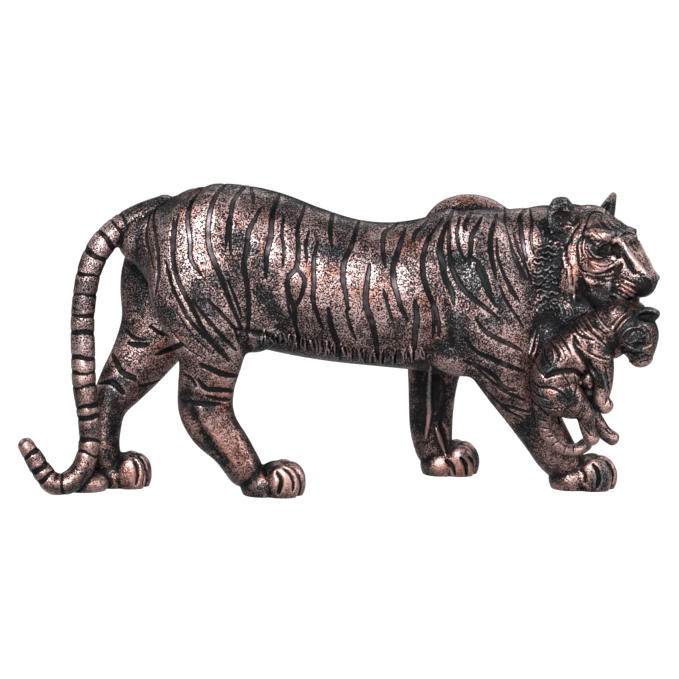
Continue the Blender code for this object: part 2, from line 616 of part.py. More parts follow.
def ring_points(tree):
    """The rings of the tail laid on the skin."""
    right, up, _ = view_axes(*SIDE_VIEW)
    path = through([(x, y, z, share) for x, y, z, share in TAIL], 0.5)
    ways = np.gradient(path[:, :3], axis=0)
    found = []
    for x, z in TAIL_RINGS:
        off = [(right.dot(row[:3]) - x) ** 2 + (up.dot(row[:3]) - z) ** 2 for row in path]
        k = int(np.argmin(off))
        way = Vector(ways[k]).normalized()
        side = (Vector((0, 1, 0)) - way * way.y).normalized()
        for degrees in range(0, 360, 8):
            a = math.radians(degrees)
            out = way.cross(side) * math.cos(a) + side * math.sin(a)
            start = Vector(path[k, :3]) + way * (0.8 * math.sin(2 * a + z))
            place, normal, _, distance = tree.find_nearest(start + out * (TAIL_DIAMETER / 2))
            if place is not None and distance < TAIL_DIAMETER / 3:
                found.append((place, normal, RING_HALF_WIDTH))
    return found


def carved(skin, strokes, depth):
    """Grooves pressed into the skin along the strokes and round the tail."""
    tree = BVHTree.FromBMesh(skin)
    marks = ring_points(tree)
    middle = (Vector((0, 0, 0)), Vector((0, 1, 0)))
    for half_width, drawn in strokes:
        marks += stroke_points(tree, half_width, drawn)
        if min(z for _, z in drawn) > MIRRORED_ABOVE:
            marks += stroke_points(tree, half_width, drawn, middle)
    index = KDTree(len(marks))
    for i, (place, _, _) in enumerate(marks):
        index.insert(place, i)
    index.balance()
    skin.normal_update()
    for vert in skin.verts:
        place, i, distance = index.find(vert.co)
        _, normal, half_width = marks[i]
        if distance < half_width and vert.normal.dot(normal) > 0.4:
            vert.co -= vert.normal * depth * (1 - (distance / half_width) ** 2) ** 0.8
    return skin


def thinned(skin, triangles):
    """The skin as a mesh collapsed to about so many triangles."""
    mesh = bpy.data.meshes.new("tigress_and_cub")
    bmesh.ops.triangulate(skin, faces=skin.faces)
    share = triangles / len(skin.faces)
    skin.to_mesh(mesh)
    skin.free()
    obj = bpy.data.objects.new("whole", mesh)
    bpy.context.scene.collection.objects.link(obj)
    coarse = obj.vertex_groups.new(name="coarse")
    coarse.add([v.index for v in mesh.vertices if v.co.x < FINE_BEYOND], 1.0, "REPLACE")
    coarse.add([v.index for v in mesh.vertices if v.co.x >= FINE_BEYOND], 0.5, "REPLACE")
    collapse = obj.modifiers.new("collapse", "DECIMATE")
    collapse.vertex_group = "coarse"
    collapse.vertex_group_factor = FINE_WEIGHT
    collapse.ratio = share
    graph = bpy.context.evaluated_depsgraph_get()
    thin = bpy.data.meshes.new_from_object(obj.evaluated_get(graph))
    bpy.data.objects.remove(obj, do_unlink=True)
    bpy.data.meshes.remove(mesh)
    return thin


def soled(mesh):
    """The mesh with everything below the floor cut away and the cut closed."""
    skin = bmesh.new()
    skin.from_mesh(mesh)
    bpy.data.meshes.remove(mesh)
    whole = list(skin.verts) + list(skin.edges) + list(skin.faces)
    bmesh.ops.bisect_plane(skin, geom=whole, dist=0.02, plane_co=(0, 0, 0), plane_no=(0, 0, -1), clear_outer=True)
    open_edges = [edge for edge in skin.edges if edge.is_boundary]
    bmesh.ops.holes_fill(skin, edges=open_edges, sides=0)
    bmesh.ops.triangulate(skin, faces=[face for face in skin.faces if len(face.verts) > 3])
    return skin


def statue():
    body = [limb(TRUNK), limb(NEAR_HIND), limb(FAR_HIND), limb(NEAR_FORE), limb(FAR_FORE)]
    body += [lump(*row) for row in MUSCLES]
    trunk = fused(body, BODY_VOXEL, 18)
    web = lump((-178, -4, 5), (16, 12, 9))
    shapes = [trunk, tail(), web, *head(), *cub()]
    for row in PAWS:
        shapes += paw(*row)
    skin = fused(shapes, SKIN_VOXEL, 2)
    turn = Euler([math.radians(a) for a in HEAD_TURN]).to_matrix()
    skin = modelled(skin, FACE_FORMS + FACE_LINES, (Vector(HEAD_PLACE), turn @ Vector((0, 1, 0))))
    skin = modelled(skin, EAR_FORMS + LEG_FORMS + CUB_FORMS + CUB_LINES)
    skin = carved(skin, STRIPES, STRIPE_DEPTH)
    return soled(thinned(skin, TRIANGLES))


def sized(skin):
    """The statue brought to its three outer sizes, with the middle of its outline over the origin."""
    for axis, size in enumerate((LENGTH, WIDTH, HEIGHT)):
        reach = [vert.co[axis] for vert in skin.verts]
        low, high = min(reach), max(reach)
        start = 0 if axis == 2 else (low + high) / 2
        for vert in skin.verts:
            vert.co[axis] = (vert.co[axis] - start) * size / (high - low)
    return skin


def main():
    clear_scene()
    skin = sized(statue())
    bmesh.ops.scale(skin, vec=(MM, MM, MM), verts=skin.verts)
    mesh = bpy.data.meshes.new("tigress_and_cub")
    skin.to_mesh(mesh)
    skin.free()
    whole = bpy.data.objects.new("tigress_and_cub", mesh)
    group = bpy.data.collections.new("tigress_with_cub")
    bpy.context.scene.collection.children.link(group)
    group.objects.link(whole)
    copper = bpy.data.materials.new("antique_copper")
    copper.use_nodes = True
    finish = copper.node_tree.nodes["Principled BSDF"]
    finish.inputs["Base Color"].default_value = (0.22, 0.11, 0.08, 1)
    finish.inputs["Metallic"].default_value = 0.6
    finish.inputs["Roughness"].default_value = 0.4
    mesh.materials.append(copper)


main()
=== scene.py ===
import json
import math

import bpy
import numpy as np
from mathutils import Euler, Matrix, Vector
from mathutils.bvhtree import BVHTree
from mathutils.kdtree import KDTree

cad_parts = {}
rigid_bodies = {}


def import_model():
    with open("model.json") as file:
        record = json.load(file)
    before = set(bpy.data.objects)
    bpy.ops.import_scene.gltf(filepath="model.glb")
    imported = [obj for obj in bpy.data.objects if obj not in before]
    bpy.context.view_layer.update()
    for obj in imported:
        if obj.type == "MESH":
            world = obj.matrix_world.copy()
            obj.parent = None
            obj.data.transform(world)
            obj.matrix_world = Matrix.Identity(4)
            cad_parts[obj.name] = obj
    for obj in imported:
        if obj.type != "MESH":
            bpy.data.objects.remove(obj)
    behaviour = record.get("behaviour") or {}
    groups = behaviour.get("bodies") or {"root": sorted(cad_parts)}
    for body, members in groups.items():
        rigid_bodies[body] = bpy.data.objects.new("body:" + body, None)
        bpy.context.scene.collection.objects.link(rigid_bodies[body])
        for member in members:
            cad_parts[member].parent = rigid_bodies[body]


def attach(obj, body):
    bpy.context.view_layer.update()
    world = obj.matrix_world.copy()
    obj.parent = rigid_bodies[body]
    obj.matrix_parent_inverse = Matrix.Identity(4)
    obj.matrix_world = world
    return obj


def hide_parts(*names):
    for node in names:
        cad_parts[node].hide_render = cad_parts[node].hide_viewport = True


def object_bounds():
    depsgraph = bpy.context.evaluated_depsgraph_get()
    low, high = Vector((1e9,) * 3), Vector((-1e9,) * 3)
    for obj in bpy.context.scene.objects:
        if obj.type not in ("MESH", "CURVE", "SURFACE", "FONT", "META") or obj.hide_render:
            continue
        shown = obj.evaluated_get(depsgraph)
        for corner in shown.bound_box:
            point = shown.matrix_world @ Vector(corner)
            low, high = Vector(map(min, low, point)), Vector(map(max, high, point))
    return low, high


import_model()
cad_low, cad_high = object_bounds()

# The camera: a long lens two metres away, 9 degrees up and 4 degrees towards the tail. The carving
# is drawn as it sees the statue, in picture points from the upper left corner that are POINT
# millimetres wide at the statue. All is in millimetres until the statue is placed.
CAMERA_DISTANCE = 2000.0
CAMERA_AZIMUTH = math.radians(-4.0)
CAMERA_ELEVATION = math.radians(9.0)
CAMERA_HEIGHT_OF_AIM = 104.3
PICTURE_POINTS = 679
POINT = 0.7
MM = 0.001

toward_camera = Vector(
    (
        math.sin(CAMERA_AZIMUTH) * math.cos(CAMERA_ELEVATION),
        -math.cos(CAMERA_AZIMUTH) * math.cos(CAMERA_ELEVATION),
        math.sin(CAMERA_ELEVATION),
    )
)
picture_right = Vector((math.cos(CAMERA_AZIMUTH), math.sin(CAMERA_AZIMUTH), 0))
picture_up = toward_camera.cross(picture_right)
aim = Vector((0, 0, CAMERA_HEIGHT_OF_AIM))
eye = aim + toward_camera * CAMERA_DISTANCE

camera = bpy.data.objects.new("camera", bpy.data.cameras.new("camera"))
bpy.context.scene.collection.objects.link(camera)
bpy.context.scene.camera = camera
camera.matrix_world = Matrix((picture_right, picture_up, toward_camera)).transposed().to_4x4()
camera.data.sensor_width = 36.0
camera.data.lens = 36.0 * CAMERA_DISTANCE / (PICTURE_POINTS * POINT)
camera.data.clip_end = 20.0


def ray_through(x, y, mirror=None):
    """The start and direction of the ray through a picture point, mirrored if a plane is given."""
    half = PICTURE_POINTS / 2
    aimed = aim + picture_right * ((x - half) * POINT) + picture_up * ((half - y) * POINT)
    start, direction = eye.copy(), (aimed - eye).normalized()
    if mirror:
        point, normal = mirror
        start -= normal * (2 * (start - point).dot(normal))
        direction -= normal * (2 * direction.dot(normal))
    return start, direction


# The trunk and the four legs: the modeller's core of clay, built up in lofts and lumps of
# muscle and melted into one skin. The near legs reach under the belly and forward, and the far
# ones stretch back and stand upright, as in a slow walk.
TRUNK = [
    (-140, 0, 178, 18, 18),
    (-122, 0, 174, 34, 32),
    (-105, 0, 168.5, 45.5, 38),
    (-88, 0, 165, 51, 40),
    (-62, 0, 157.5, 54.5, 40),
    (-30, 0, 147.1, 53.1, 40),
    (0, 0, 139.6, 51.1, 40),
    (30, 0, 135.9, 50.9, 40),
    (56, 0, 135.3, 53.8, 40),
    (77, 0, 136, 59, 38),
    (98, 0, 140, 59, 35),
    (117, -1, 148.5, 50.5, 32),
    (133, -3, 154.5, 43, 30),
    (150, -5, 157.5, 40, 29),
    (162, -6, 159.5, 36, 29),
]
NEAR_HIND = [
    (-97, -22, 185, 32, 17),
    (-95, -27, 150, 39, 20),
    (-92, -28, 116, 31, 18),
    (-91, -26, 96, 23, 15.5),
    (-94, -25, 77, 20, 13.5),
    (-94.5, -25, 61, 19.5, 12.5),
    (-90, -25, 49, 18, 12.5),
    (-77, -25, 32.5, 14.5, 13),
    (-67, -24, 16, 13, 13.5),
]
FAR_HIND = [
    (-105, 22, 182, 32, 17),
    (-119, 27, 145, 34, 19),
    (-126, 27, 112, 28, 17.5),
    (-139, 24, 89, 22, 14.5),
    (-153, 20, 70, 17.5, 12.5),
    (-162, 17, 56, 13.5, 12),
    (-165, 14, 40, 11.8, 12),
    (-166, 12, 24, 12, 13),
    (-163, 12, 14, 12, 13),
]
NEAR_FORE = [
    (93, -22, 172, 26, 14),
    (100, -26, 137, 33, 18),
    (109, -26, 104, 29, 18),
    (120, -25, 78, 23, 16),
    (131, -23, 58, 19, 14.5),
    (143, -21, 38, 16.5, 14),
    (153, -19, 22, 15, 14.5),
    (160, -18, 14, 13, 14),
]
FAR_FORE = [
    (84, 22, 182, 24, 13),
    (78, 27, 140, 30, 17),
    (73, 30, 98, 24, 16.5),
    (69.5, 33, 70, 18.5, 14),
    (68.5, 36, 48, 16.5, 13),
    (69, 38, 30, 15.5, 13),
    (71, 39, 16, 13.5, 13.5),
]
MUSCLES = [
    ((-90, -22, 176), (36, 19, 36), (0, 20, 0)),
    ((-94, 21, 176), (34, 19, 35), (0, 20, 0)),
    ((-66, -27, 128), (24, 14, 30), (0, -30, 0)),
    ((94, 22, 180), (33, 14, 24), (0, 4, 0)),
    ((88, 25, 150), (34, 15, 46), (0, 6, 0)),
    ((138, 13, 150), (36, 18, 33), (0, 10, 0)),
    ((160, 14, 146), (20, 18, 26), (0, 0, 0)),
    ((148, 9, 174), (34, 19, 23), (0, 4, 0)),
    ((132, 20, 178), (22, 12, 16), (0, 0, 0)),
    ((170, -30, 130), (13, 13, 12), (0, 0, 0)),
    ((92, -23, 170), (32, 15, 25), (0, 10, 0)),
    ((86, -27, 128), (30, 15, 34), (0, 15, 0)),
    ((82, -24, 98), (22, 14, 17), (0, 10, 0)),
    ((140, -14, 132), (24, 22, 28), (0, 30, 0)),
    ((158, -22, 126), (18, 18, 20), (0, 30, 0)),
    ((144, -24, 108), (16, 14, 20), (0, 20, 0)),
]


def choose(*pieces):
    """Only these pieces selected, and the first of them active."""
    bpy.ops.object.select_all(action="DESELECT")
    for piece in pieces:
        piece.select_set(True)
    bpy.context.view_layer.objects.active = pieces[0]


def curve_through(rows, step):
    """The rows joined by a smooth curve and read again about every step along it."""
    rows = np.array(rows, float)
    chord = np.linalg.norm(np.diff(rows[:, :3], axis=0), axis=1)
    at = np.concatenate([[0.0], np.cumsum(chord)])
    slope = np.gradient(rows, at, axis=0)
    wanted = np.linspace(0.0, at[-1], max(3, int(at[-1] / step)) + 1)
    span = np.clip(np.searchsorted(at, wanted, side="right") - 1, 0, len(at) - 2)
    width = (at[span + 1] - at[span])[:, None]
    t = (wanted - at[span])[:, None] / width
    return (
        (2 * t**3 - 3 * t**2 + 1) * rows[span]
        + (t**3 - 2 * t**2 + t) * slope[span] * width
        + (-2 * t**3 + 3 * t**2) * rows[span + 1]
        + (t**3 - t**2) * slope[span + 1] * width
    )


def roll_of_clay(rows, step=2.0, around=32):
    """A closed loft along rows of (x, y, z, half depth, half width), with rounded ends."""
    end_share = 0.8
    rows = curve_through(rows, step)
    along = np.gradient(rows[:, :3], axis=0)
    along /= np.linalg.norm(along, axis=1)[:, None]
    turn = np.linspace(0, 2 * math.pi, around, endpoint=False)
    rings = []

    def ring(centre, way, deep, wide):
        side = np.array((0.0, 1.0, 0.0)) - way * way[1]
        side /= np.linalg.norm(side)
        fore = np.cross(way, side)
        rings.append(centre + np.outer(np.cos(turn) * deep, fore) + np.outer(np.sin(turn) * wide, side))

    def rounded_end(row, way, outward):
        reach = min(row[3], row[4]) * end_share
        for degrees in (75, 60, 42, 22) if outward < 0 else (22, 42, 60, 75):
            a = math.radians(degrees)
            centre = row[:3] + way * outward * reach * math.sin(a)
            ring(centre, way, row[3] * math.cos(a), row[4] * math.cos(a))

    rounded_end(rows[0], along[0], -1)
    for row, way in zip(rows, along):
        ring(row[:3], way, row[3], row[4])
    rounded_end(rows[-1], along[-1], 1)
    faces = [list(range(around))[::-1], [(len(rings) - 1) * around + i for i in range(around)]]
    for k in range(len(rings) - 1):
        for i in range(around):
            j = (i + 1) % around
            faces.append((k * around + i, k * around + j, (k + 1) * around + j, (k + 1) * around + i))
    mesh = bpy.data.meshes.new("roll")
    mesh.from_pydata(np.concatenate(rings).tolist(), [], faces)
    roll = bpy.data.objects.new("roll", mesh)
    bpy.context.scene.collection.objects.link(roll)
    choose(roll)
    bpy.ops.object.mode_set(mode="EDIT")
    bpy.ops.mesh.select_all(action="SELECT")
    bpy.ops.mesh.normals_make_consistent(inside=False)
    bpy.ops.object.mode_set(mode="OBJECT")
    return roll


def lump_of_clay(centre, radii, turn=(0, 0, 0)):
    """A ball drawn out to three radii and turned about X, Y and Z, in degrees."""
    bpy.ops.object.select_all(action="DESELECT")
    bpy.ops.mesh.primitive_uv_sphere_add(segments=32, ring_count=20, radius=1.0, location=centre)
    ball = bpy.context.object
    ball.rotation_euler = [math.radians(a) for a in turn]
    ball.scale = radii
    return ball


def melted(parts, voxel, smoothing):
    """The parts joined and melted into one skin, which is then smoothed as often as is said."""
    choose(*parts)
    bpy.ops.object.transform_apply(location=True, rotation=True, scale=True)
    bpy.ops.object.join()
    whole = bpy.context.object
    melt = whole.modifiers.new("melt", "REMESH")
    melt.mode = "VOXEL"
    melt.voxel_size = voxel
    bpy.ops.object.modifier_apply(modifier="melt")
    smooth = whole.modifiers.new("smooth", "SMOOTH")
    smooth.factor = 0.5
    smooth.iterations = smoothing
    bpy.ops.object.modifier_apply(modifier="smooth")
    return whole


limbs = [roll_of_clay(rows) for rows in (TRUNK, NEAR_HIND, FAR_HIND, NEAR_FORE, FAR_FORE)]
CORE_VOXEL = 1.6
core = melted(limbs + [lump_of_clay(*row) for row in MUSCLES], CORE_VOXEL, smoothing=30)

# The tail: one long roll that drops behind the haunches, bends along the floor as the fifth
# foot of the casting, and turns up at its tip.
TAIL_RADIUS = 8.5
TAIL = [
    (-120, 0, 196, 1.35),
    (-138, -1, 191, 1.20),
    (-153, -2, 183.5, 1.10),
    (-166, -4, 171.5, 1.05),
    (-173.4, -6, 156.5, 1.0),
    (-176.8, -7, 141, 0.98),
    (-178.9, -8, 121, 0.98),
    (-178.9, -9, 100, 1.0),
    (-178.5, -10, 79, 1.0),
    (-176, -11, 58, 0.96),
    (-175, -12, 41, 0.90),
    (-176.8, -13, 28, 0.88),
    (-181.5, -14, 16, 0.92),
    (-190, -15, 8.2, 0.95),
    (-200, -16, 7.4, 0.92),
    (-207.5, -16, 15.5, 0.86),
    (-214.3, -16, 27, 0.78),
    (-219.5, -16, 35.5, 0.66),
]
tail_rows = [(x, y, z, share * TAIL_RADIUS, share * TAIL_RADIUS) for x, y, z, share in TAIL]
tail = [roll_of_clay(tail_rows), lump_of_clay((-178, -4, 5), (16, 12, 9))]

# The four paws: a pad with four toes each, pressed flat under the statue where it stands.
PAW_LENGTH = 48.0
PAW_HALF_WIDTH = 17.0
PAW_HEIGHT = 25.0
PAWS = [(-71, -24, -3, 0.95), (-174, 12, 0, 0.87), (146, -18, -2, 1.0), (61, 37, 3, 0.88)]
PADS = [((0.36, 0, 0.26), (0.36, 0.90, 0.56)), ((0.56, 0, 0.34), (0.34, 0.94, 0.60))]
TOE_PLACES = [(0.66, -0.70), (0.76, -0.25), (0.76, 0.25), (0.66, 0.70)]
TOES = [((ahead, across, 0.34), (0.245, 0.33, 0.56)) for ahead, across in TOE_PLACES]
paws = []
for heel, middle, heading, share in PAWS:
    paw = Vector((PAW_LENGTH * share, PAW_HALF_WIDTH, PAW_HEIGHT))
    turn = Matrix.Translation((heel, middle, 0)) @ Matrix.Rotation(math.radians(heading), 4, "Z")
    for centre, radii in PADS + TOES:
        paws.append(lump_of_clay(turn @ (Vector(centre) * paw), Vector(radii) * paw, (0, 0, heading)))

# The tigress's head, modelled in its own frame with X to the nose and Y to the far cheek, then
# turned towards the viewer and set on the neck.
HEAD_PLACE = Vector((179.0, -14.9, 166.0))
HEAD_TURN = Euler([math.radians(a) for a in (-2.0, 12.0, -40.0)]).to_matrix().to_4x4()
SKULL = [
    (-42, 0, -5, 26, 25),
    (-33, 0, -4, 30, 30),
    (-20, 0, -3, 31, 32),
    (-8, 0, -2, 31, 30),
    (4, 0, -2, 29, 26.5),
    (14, 0, -3, 24.5, 22),
    (21, 0, -4.5, 20.5, 18),
    (28, 0, -6.5, 17, 14.5),
    (35, 0, -9, 13.5, 12.5),
    (41, 0, -10.5, 10.5, 10.5),
]
FACE = [
    ((12, 0, 13), (18, 15, 9), (0, 22, 0), 0),
    ((11.5, -12, 16), (9.5, 7.5, 5.5), (20, 14, 22), 1),
    ((17, -9, 15.5), (7, 7.5, 5), (0, 30, 0), 1),
    ((25.6, 0, 2.0), (16.5, 5.5, 6), (0, 40, 0), 0),
    ((24.5, 0, -0.5), (14.5, 8, 9), (0, 34, 0), 0),
    ((-11, 2, 13.5), (18, 20, 17.5), (0, 0, 0), 0),
    ((19, -14, -15), (12, 7.5, 11), (0, 0, -30), 1),
    ((30.5, -8.5, -14), (10.5, 7.8, 8.4), (0, 12, -12), 1),
    ((3, -16.5, -7), (20, 10, 17), (0, 20, -22), 1),
    ((10, -15, -24), (20, 10, 11), (0, 10, -20), 1),
    ((-9, -22, -18), (16, 11, 25), (0, 6, -14), 1),
    ((-16, -20, -32), (16, 12, 15), (0, 10, -8), 1),
    ((-29, -20, -22), (14, 13, 26), (0, 6, 0), 1),
    ((6, 0, -31), (30, 14, 10), (0, -2, 0), 0),
    ((32, 0, -30), (9, 7.5, 6.5), (0, 0, 0), 0),
    ((24, -11, -24), (12, 8, 8), (0, 0, -15), 1),
]
FEATURES = [
    ((40.4, 0, -5.4), (4.2, 6.3, 4.2), (0, 35, 0), 0),
    ((38.0, 0, -12), (4.2, 6.4, 7), (0, 12, 0), 0),
]
EARS = [((-20, -25.5, 23.0), (14, -10, -38)), ((-12, 24.5, 23.5), (-12, -8, 4))]
NEAR_EAR = [(0, 0, -10, 4.5, 10.5), (0, 0, 0, 4.3, 11.2), (0, 0, 6, 3.8, 9.6), (0, 0, 10.5, 3, 6.4)]
FAR_EAR = [(0, -4, -12, 5, 16), (0, -2, -2, 4.3, 12), (0, 1.0, 6, 3.4, 7.6), (0, 4, 13.8, 2.2, 3.0)]


def both_sides(rows):
    """The lumps of the rows, and for a row marked 1 its mirror image on the far side too."""
    made = []
    for centre, radii, turn, both in rows:
        made.append(lump_of_clay(centre, radii, turn))
        if both:
            mirrored = (centre[0], -centre[1], centre[2])
            made.append(lump_of_clay(mirrored, radii, (-turn[0], turn[1], -turn[2])))
    return made


FACE_VOXEL = 1.0
HEAD_VOXEL = 0.7
face = melted([roll_of_clay(SKULL)] + both_sides(FACE), FACE_VOXEL, smoothing=26)
head = [face] + both_sides(FEATURES)
for rows, (centre, turn) in zip((NEAR_EAR, FAR_EAR), EARS):
    ear = roll_of_clay(rows, 1.0)
    ear.location = centre
    ear.rotation_euler = [math.radians(a) for a in turn]
    head.append(ear)
head = melted(head, HEAD_VOXEL, smoothing=1)
head.data.transform(Matrix.Translation(HEAD_PLACE) @ HEAD_TURN)

# The tigress as one skin: core, tail, paws and head melted together, as in the mould for the
# casting. It is then carved by strokes that are laid on it as the camera sees it.
TIGRESS_VOXEL = 0.8
tigress = melted([core, head] + tail + paws, TIGRESS_VOXEL, smoothing=2)
tigress.name = "tigress"


def read_all(items, name, width, kind=float):
    """One property of all vertices, edges or faces, as an array with a row for each."""
    values = np.empty(len(items) * width, kind)
    items.foreach_get(name, values)
    return values.reshape(-1, width)


def tree_of(points):
    tree = KDTree(len(points))
    for i, point in enumerate(points.tolist()):
        tree.insert(point, i)
    tree.balance()
    return tree


class Skin:
    """The surface of a piece while it is carved: points, normals and trees to find them by."""

    def __init__(self, piece):
        self.mesh = piece.data
        self.points = read_all(self.mesh.vertices, "co", 3)
        self.normals = read_all(self.mesh.vertices, "normal", 3)
        corners = read_all(self.mesh.loops, "vertex_index", 1, np.int32).ravel().tolist()
        starts = read_all(self.mesh.polygons, "loop_start", 1, np.int32).ravel().tolist()
        faces = [corners[a:b] for a, b in zip(starts, starts[1:] + [len(corners)])]
        self.surface = BVHTree.FromPolygons(self.points.tolist(), faces)
        self.index = tree_of(self.points)
        self.shift = np.zeros(len(self.points))

    def carved(self):
        return self.points + self.normals * self.shift[:, None]

    def write(self):
        self.mesh.vertices.foreach_set("co", self.carved().ravel())
        self.mesh.update()


def laid(skin, stroke, half_width, mirrors=(None,), step=0.6):
    """A stroke of picture points laid on a skin as close samples: (place, normal, half width)."""
    tip = 0.25
    points = [tuple(float(v) for v in point.split(",")) + (0.0,) for point in stroke.split()]
    if len(points) > 1:
        points = curve_through(points, step)
    samples = []
    for i, (x, y, _) in enumerate(points):
        taper = tip + (1 - tip) * math.sin(math.pi * (i + 0.5) / len(points)) ** 0.5
        for mirror in mirrors:
            place, normal, _, _ = skin.surface.ray_cast(*ray_through(x, y, mirror))
            crossed = mirror and place is not None and (place - mirror[0]).dot(mirror[1]) < -1.0
            if place is not None and not crossed:
                samples.append((place, normal, half_width * taper))
    return samples


def share_under(skin, samples, facing):
    """For each point of the skin a share from 0 to 1, highest in the middle of the samples."""
    share = np.zeros(len(skin.points))
    for place, normal, reach in samples:
        for _, i, distance in skin.index.find_range(place, reach):
            if skin.normals[i] @ normal > facing:
                share[i] = max(share[i], (1 - (distance / reach) ** 2) ** 2)
    return share


def worked(skin, strokes, mirrors=(None,)):
    """Rows of (height, half width, stroke) raised on the skin, or pressed in where negative."""
    for height, half_width, stroke in strokes:
        samples = laid(skin, stroke, half_width, mirrors, max(0.6, half_width / 4))
        skin.shift += height * share_under(skin, samples, 0.0)


tigress_skin = Skin(tigress)

# The face: brow, sunk eyes, cheekbones and muzzle pushed up and pressed in with the thumb, and
# the lids, whisker rows and fur scratched in after them, the same on both cheeks. The ears are
# hollowed, with hair inside.
HEAD_MIDDLE = (HEAD_PLACE, HEAD_TURN.to_3x3() @ Vector((0, 1, 0)))
FACE_FORMS = [
    (-4.2, 7.5, "604,250 611,249"),
    (-3.2, 5.0, "617,246 619,255"),
    (2.6, 5.5, "586,234 595,234 604,235 613,234"),
    (1.5, 5.0, "591,262 602,266 613,265"),
    (-1.4, 3.5, "622,264 617,273 614,283 613,293"),
    (1.8, 3.2, "623,243 629,254 637,264 645,273 651,280"),
    (-1.6, 5.0, "633,243 636,249"),
    (-1.5, 3.0, "623,254 628,264 636,273"),
    (-2.0, 3.5, "612,297 620,303 630,304 637,302"),
    (1.5, 4.0, "622,284 630,290"),
    (-1.6, 4.0, "586,276 594,279 604,280"),
]
FACE_LINES = [
    (-1.0, 1.3, "596,211.5 590,215 588,220 585,227 582,235 578,244 577.5,251 578,258 580,266 "
     "583,271 588,272 596,274.5 604,273 612,270 619,267"),
    (-1.0, 1.4, "580,224 574,232 569.5,242 565,249 562,256"),
    (-0.8, 1.3, "596,211.5 608,214 615,217"),
    (-0.8, 1.2, "588,231.5 589,238 592,243 597,245"),
    (-0.8, 1.2, "588,246 589,251 592,255 597,259 604,258"),
    (-0.7, 1.2, "587,254 591,260 596,265 601,267 609,265 616,261"),
    (-0.6, 1.1, "606,271 612,268 619,265"),
    (-0.6, 1.1, "582,274 585,286 591,294"),
    (-0.6, 1.1, "604,282 612,281 617,284"),
    (-0.6, 1.0, "620,277 629,280 638,284"),
    (-0.6, 1.0, "621,281 630,286 637,290.5"),
    (-0.6, 1.0, "620,285 628.5,290.5 636,295"),
    (-0.6, 1.0, "618,290 626,294.5 634,299"),
    (-0.6, 1.0, "617,293 624,298"),
    (-0.7, 1.1, "620,278 616,286 617,293"),
    (0.7, 1.4, "591,239 601,239 609,241"),
    (0.7, 1.3, "589,248 592,253 597,257 603,257"),
    (-0.6, 1.0, "596,231.5 599,235 602,238"),
    (-0.6, 1.0, "604,230 606,234 609,239"),
    (0.8, 1.3, "642,276 648,278 652,282.5 653,285"),
    (0.8, 1.2, "622,251 622,256 625,263 630,270"),
    (-0.7, 1.2, "601,245 608,245 613,242"),
    (2.4, 3.4, "609.5,249"),
    (0.9, 1.2, "622,279 630,282.5 637,287"),
    (0.9, 1.2, "620,283.5 629,288.5 636,293"),
    (0.9, 1.2, "619,287.5 627,292.5 634,297"),
    (0.9, 1.1, "590,231 594,236 598,239"),
    (0.9, 1.1, "596,229.5 600,235 605,239"),
    (0.8, 1.1, "602,229 606,234.5 611,238"),
    (0.7, 1.1, "604,222 609,228 614,232"),
    (-0.7, 0.9, "607,220 612,226 617,229"),
    (0.7, 1.0, "598,222 602,228"),
    (0.8, 1.1, "583,232 580,240 579.5,248 581,257"),
    (0.7, 1.1, "585.5,238 583.5,246 584.5,254"),
    (0.7, 1.1, "592,270.5 600,271.5 608,268 616,263"),
    (0.7, 1.1, "589,258 594,263 600,264.5"),
    (-0.7, 1.0, "600,276.5 608,276 616,273"),
    (0.7, 1.1, "602,279 609,278.5 616,276"),
    (0.8, 1.2, "623,233 629,229 634,231"),
    (-0.8, 1.0, "621,237 626,233.5 631,235"),
    (0.8, 1.1, "615,219.5 623,224 630,228.5"),
    (-0.7, 0.9, "613,222 621,227 628,232"),
    (1.0, 1.2, "599,246.5 605,243.5 612,243.5 618,246.5"),
    (0.9, 1.1, "601,252.5 607,255 614,255.5 619,253"),
]
worked(tigress_skin, FACE_FORMS + FACE_LINES, (None, HEAD_MIDDLE))
EAR_FORMS = [
    (-3.2, 8.0, "560,214 564,222"),
    (-2.2, 4.0, "604,206 609,203 607,211"),
    (-1.5, 2.5, "545,226 549,236 557,240"),
    (0.8, 1.0, "552,209 555,206 558,206"),
    (0.8, 1.0, "552,214 556,211 560,212"),
    (0.8, 1.0, "555,218 559,216 563,218"),
    (0.8, 1.0, "563,211 567,210 570,212"),
    (0.8, 1.0, "562,223 567,222 572,224"),
    (0.8, 1.0, "563,228 568,226 574,228"),
    (0.8, 1.0, "601,207 605,202 608,198"),
    (0.8, 1.0, "605,210 608,205 610,200"),
]
worked(tigress_skin, EAR_FORMS)

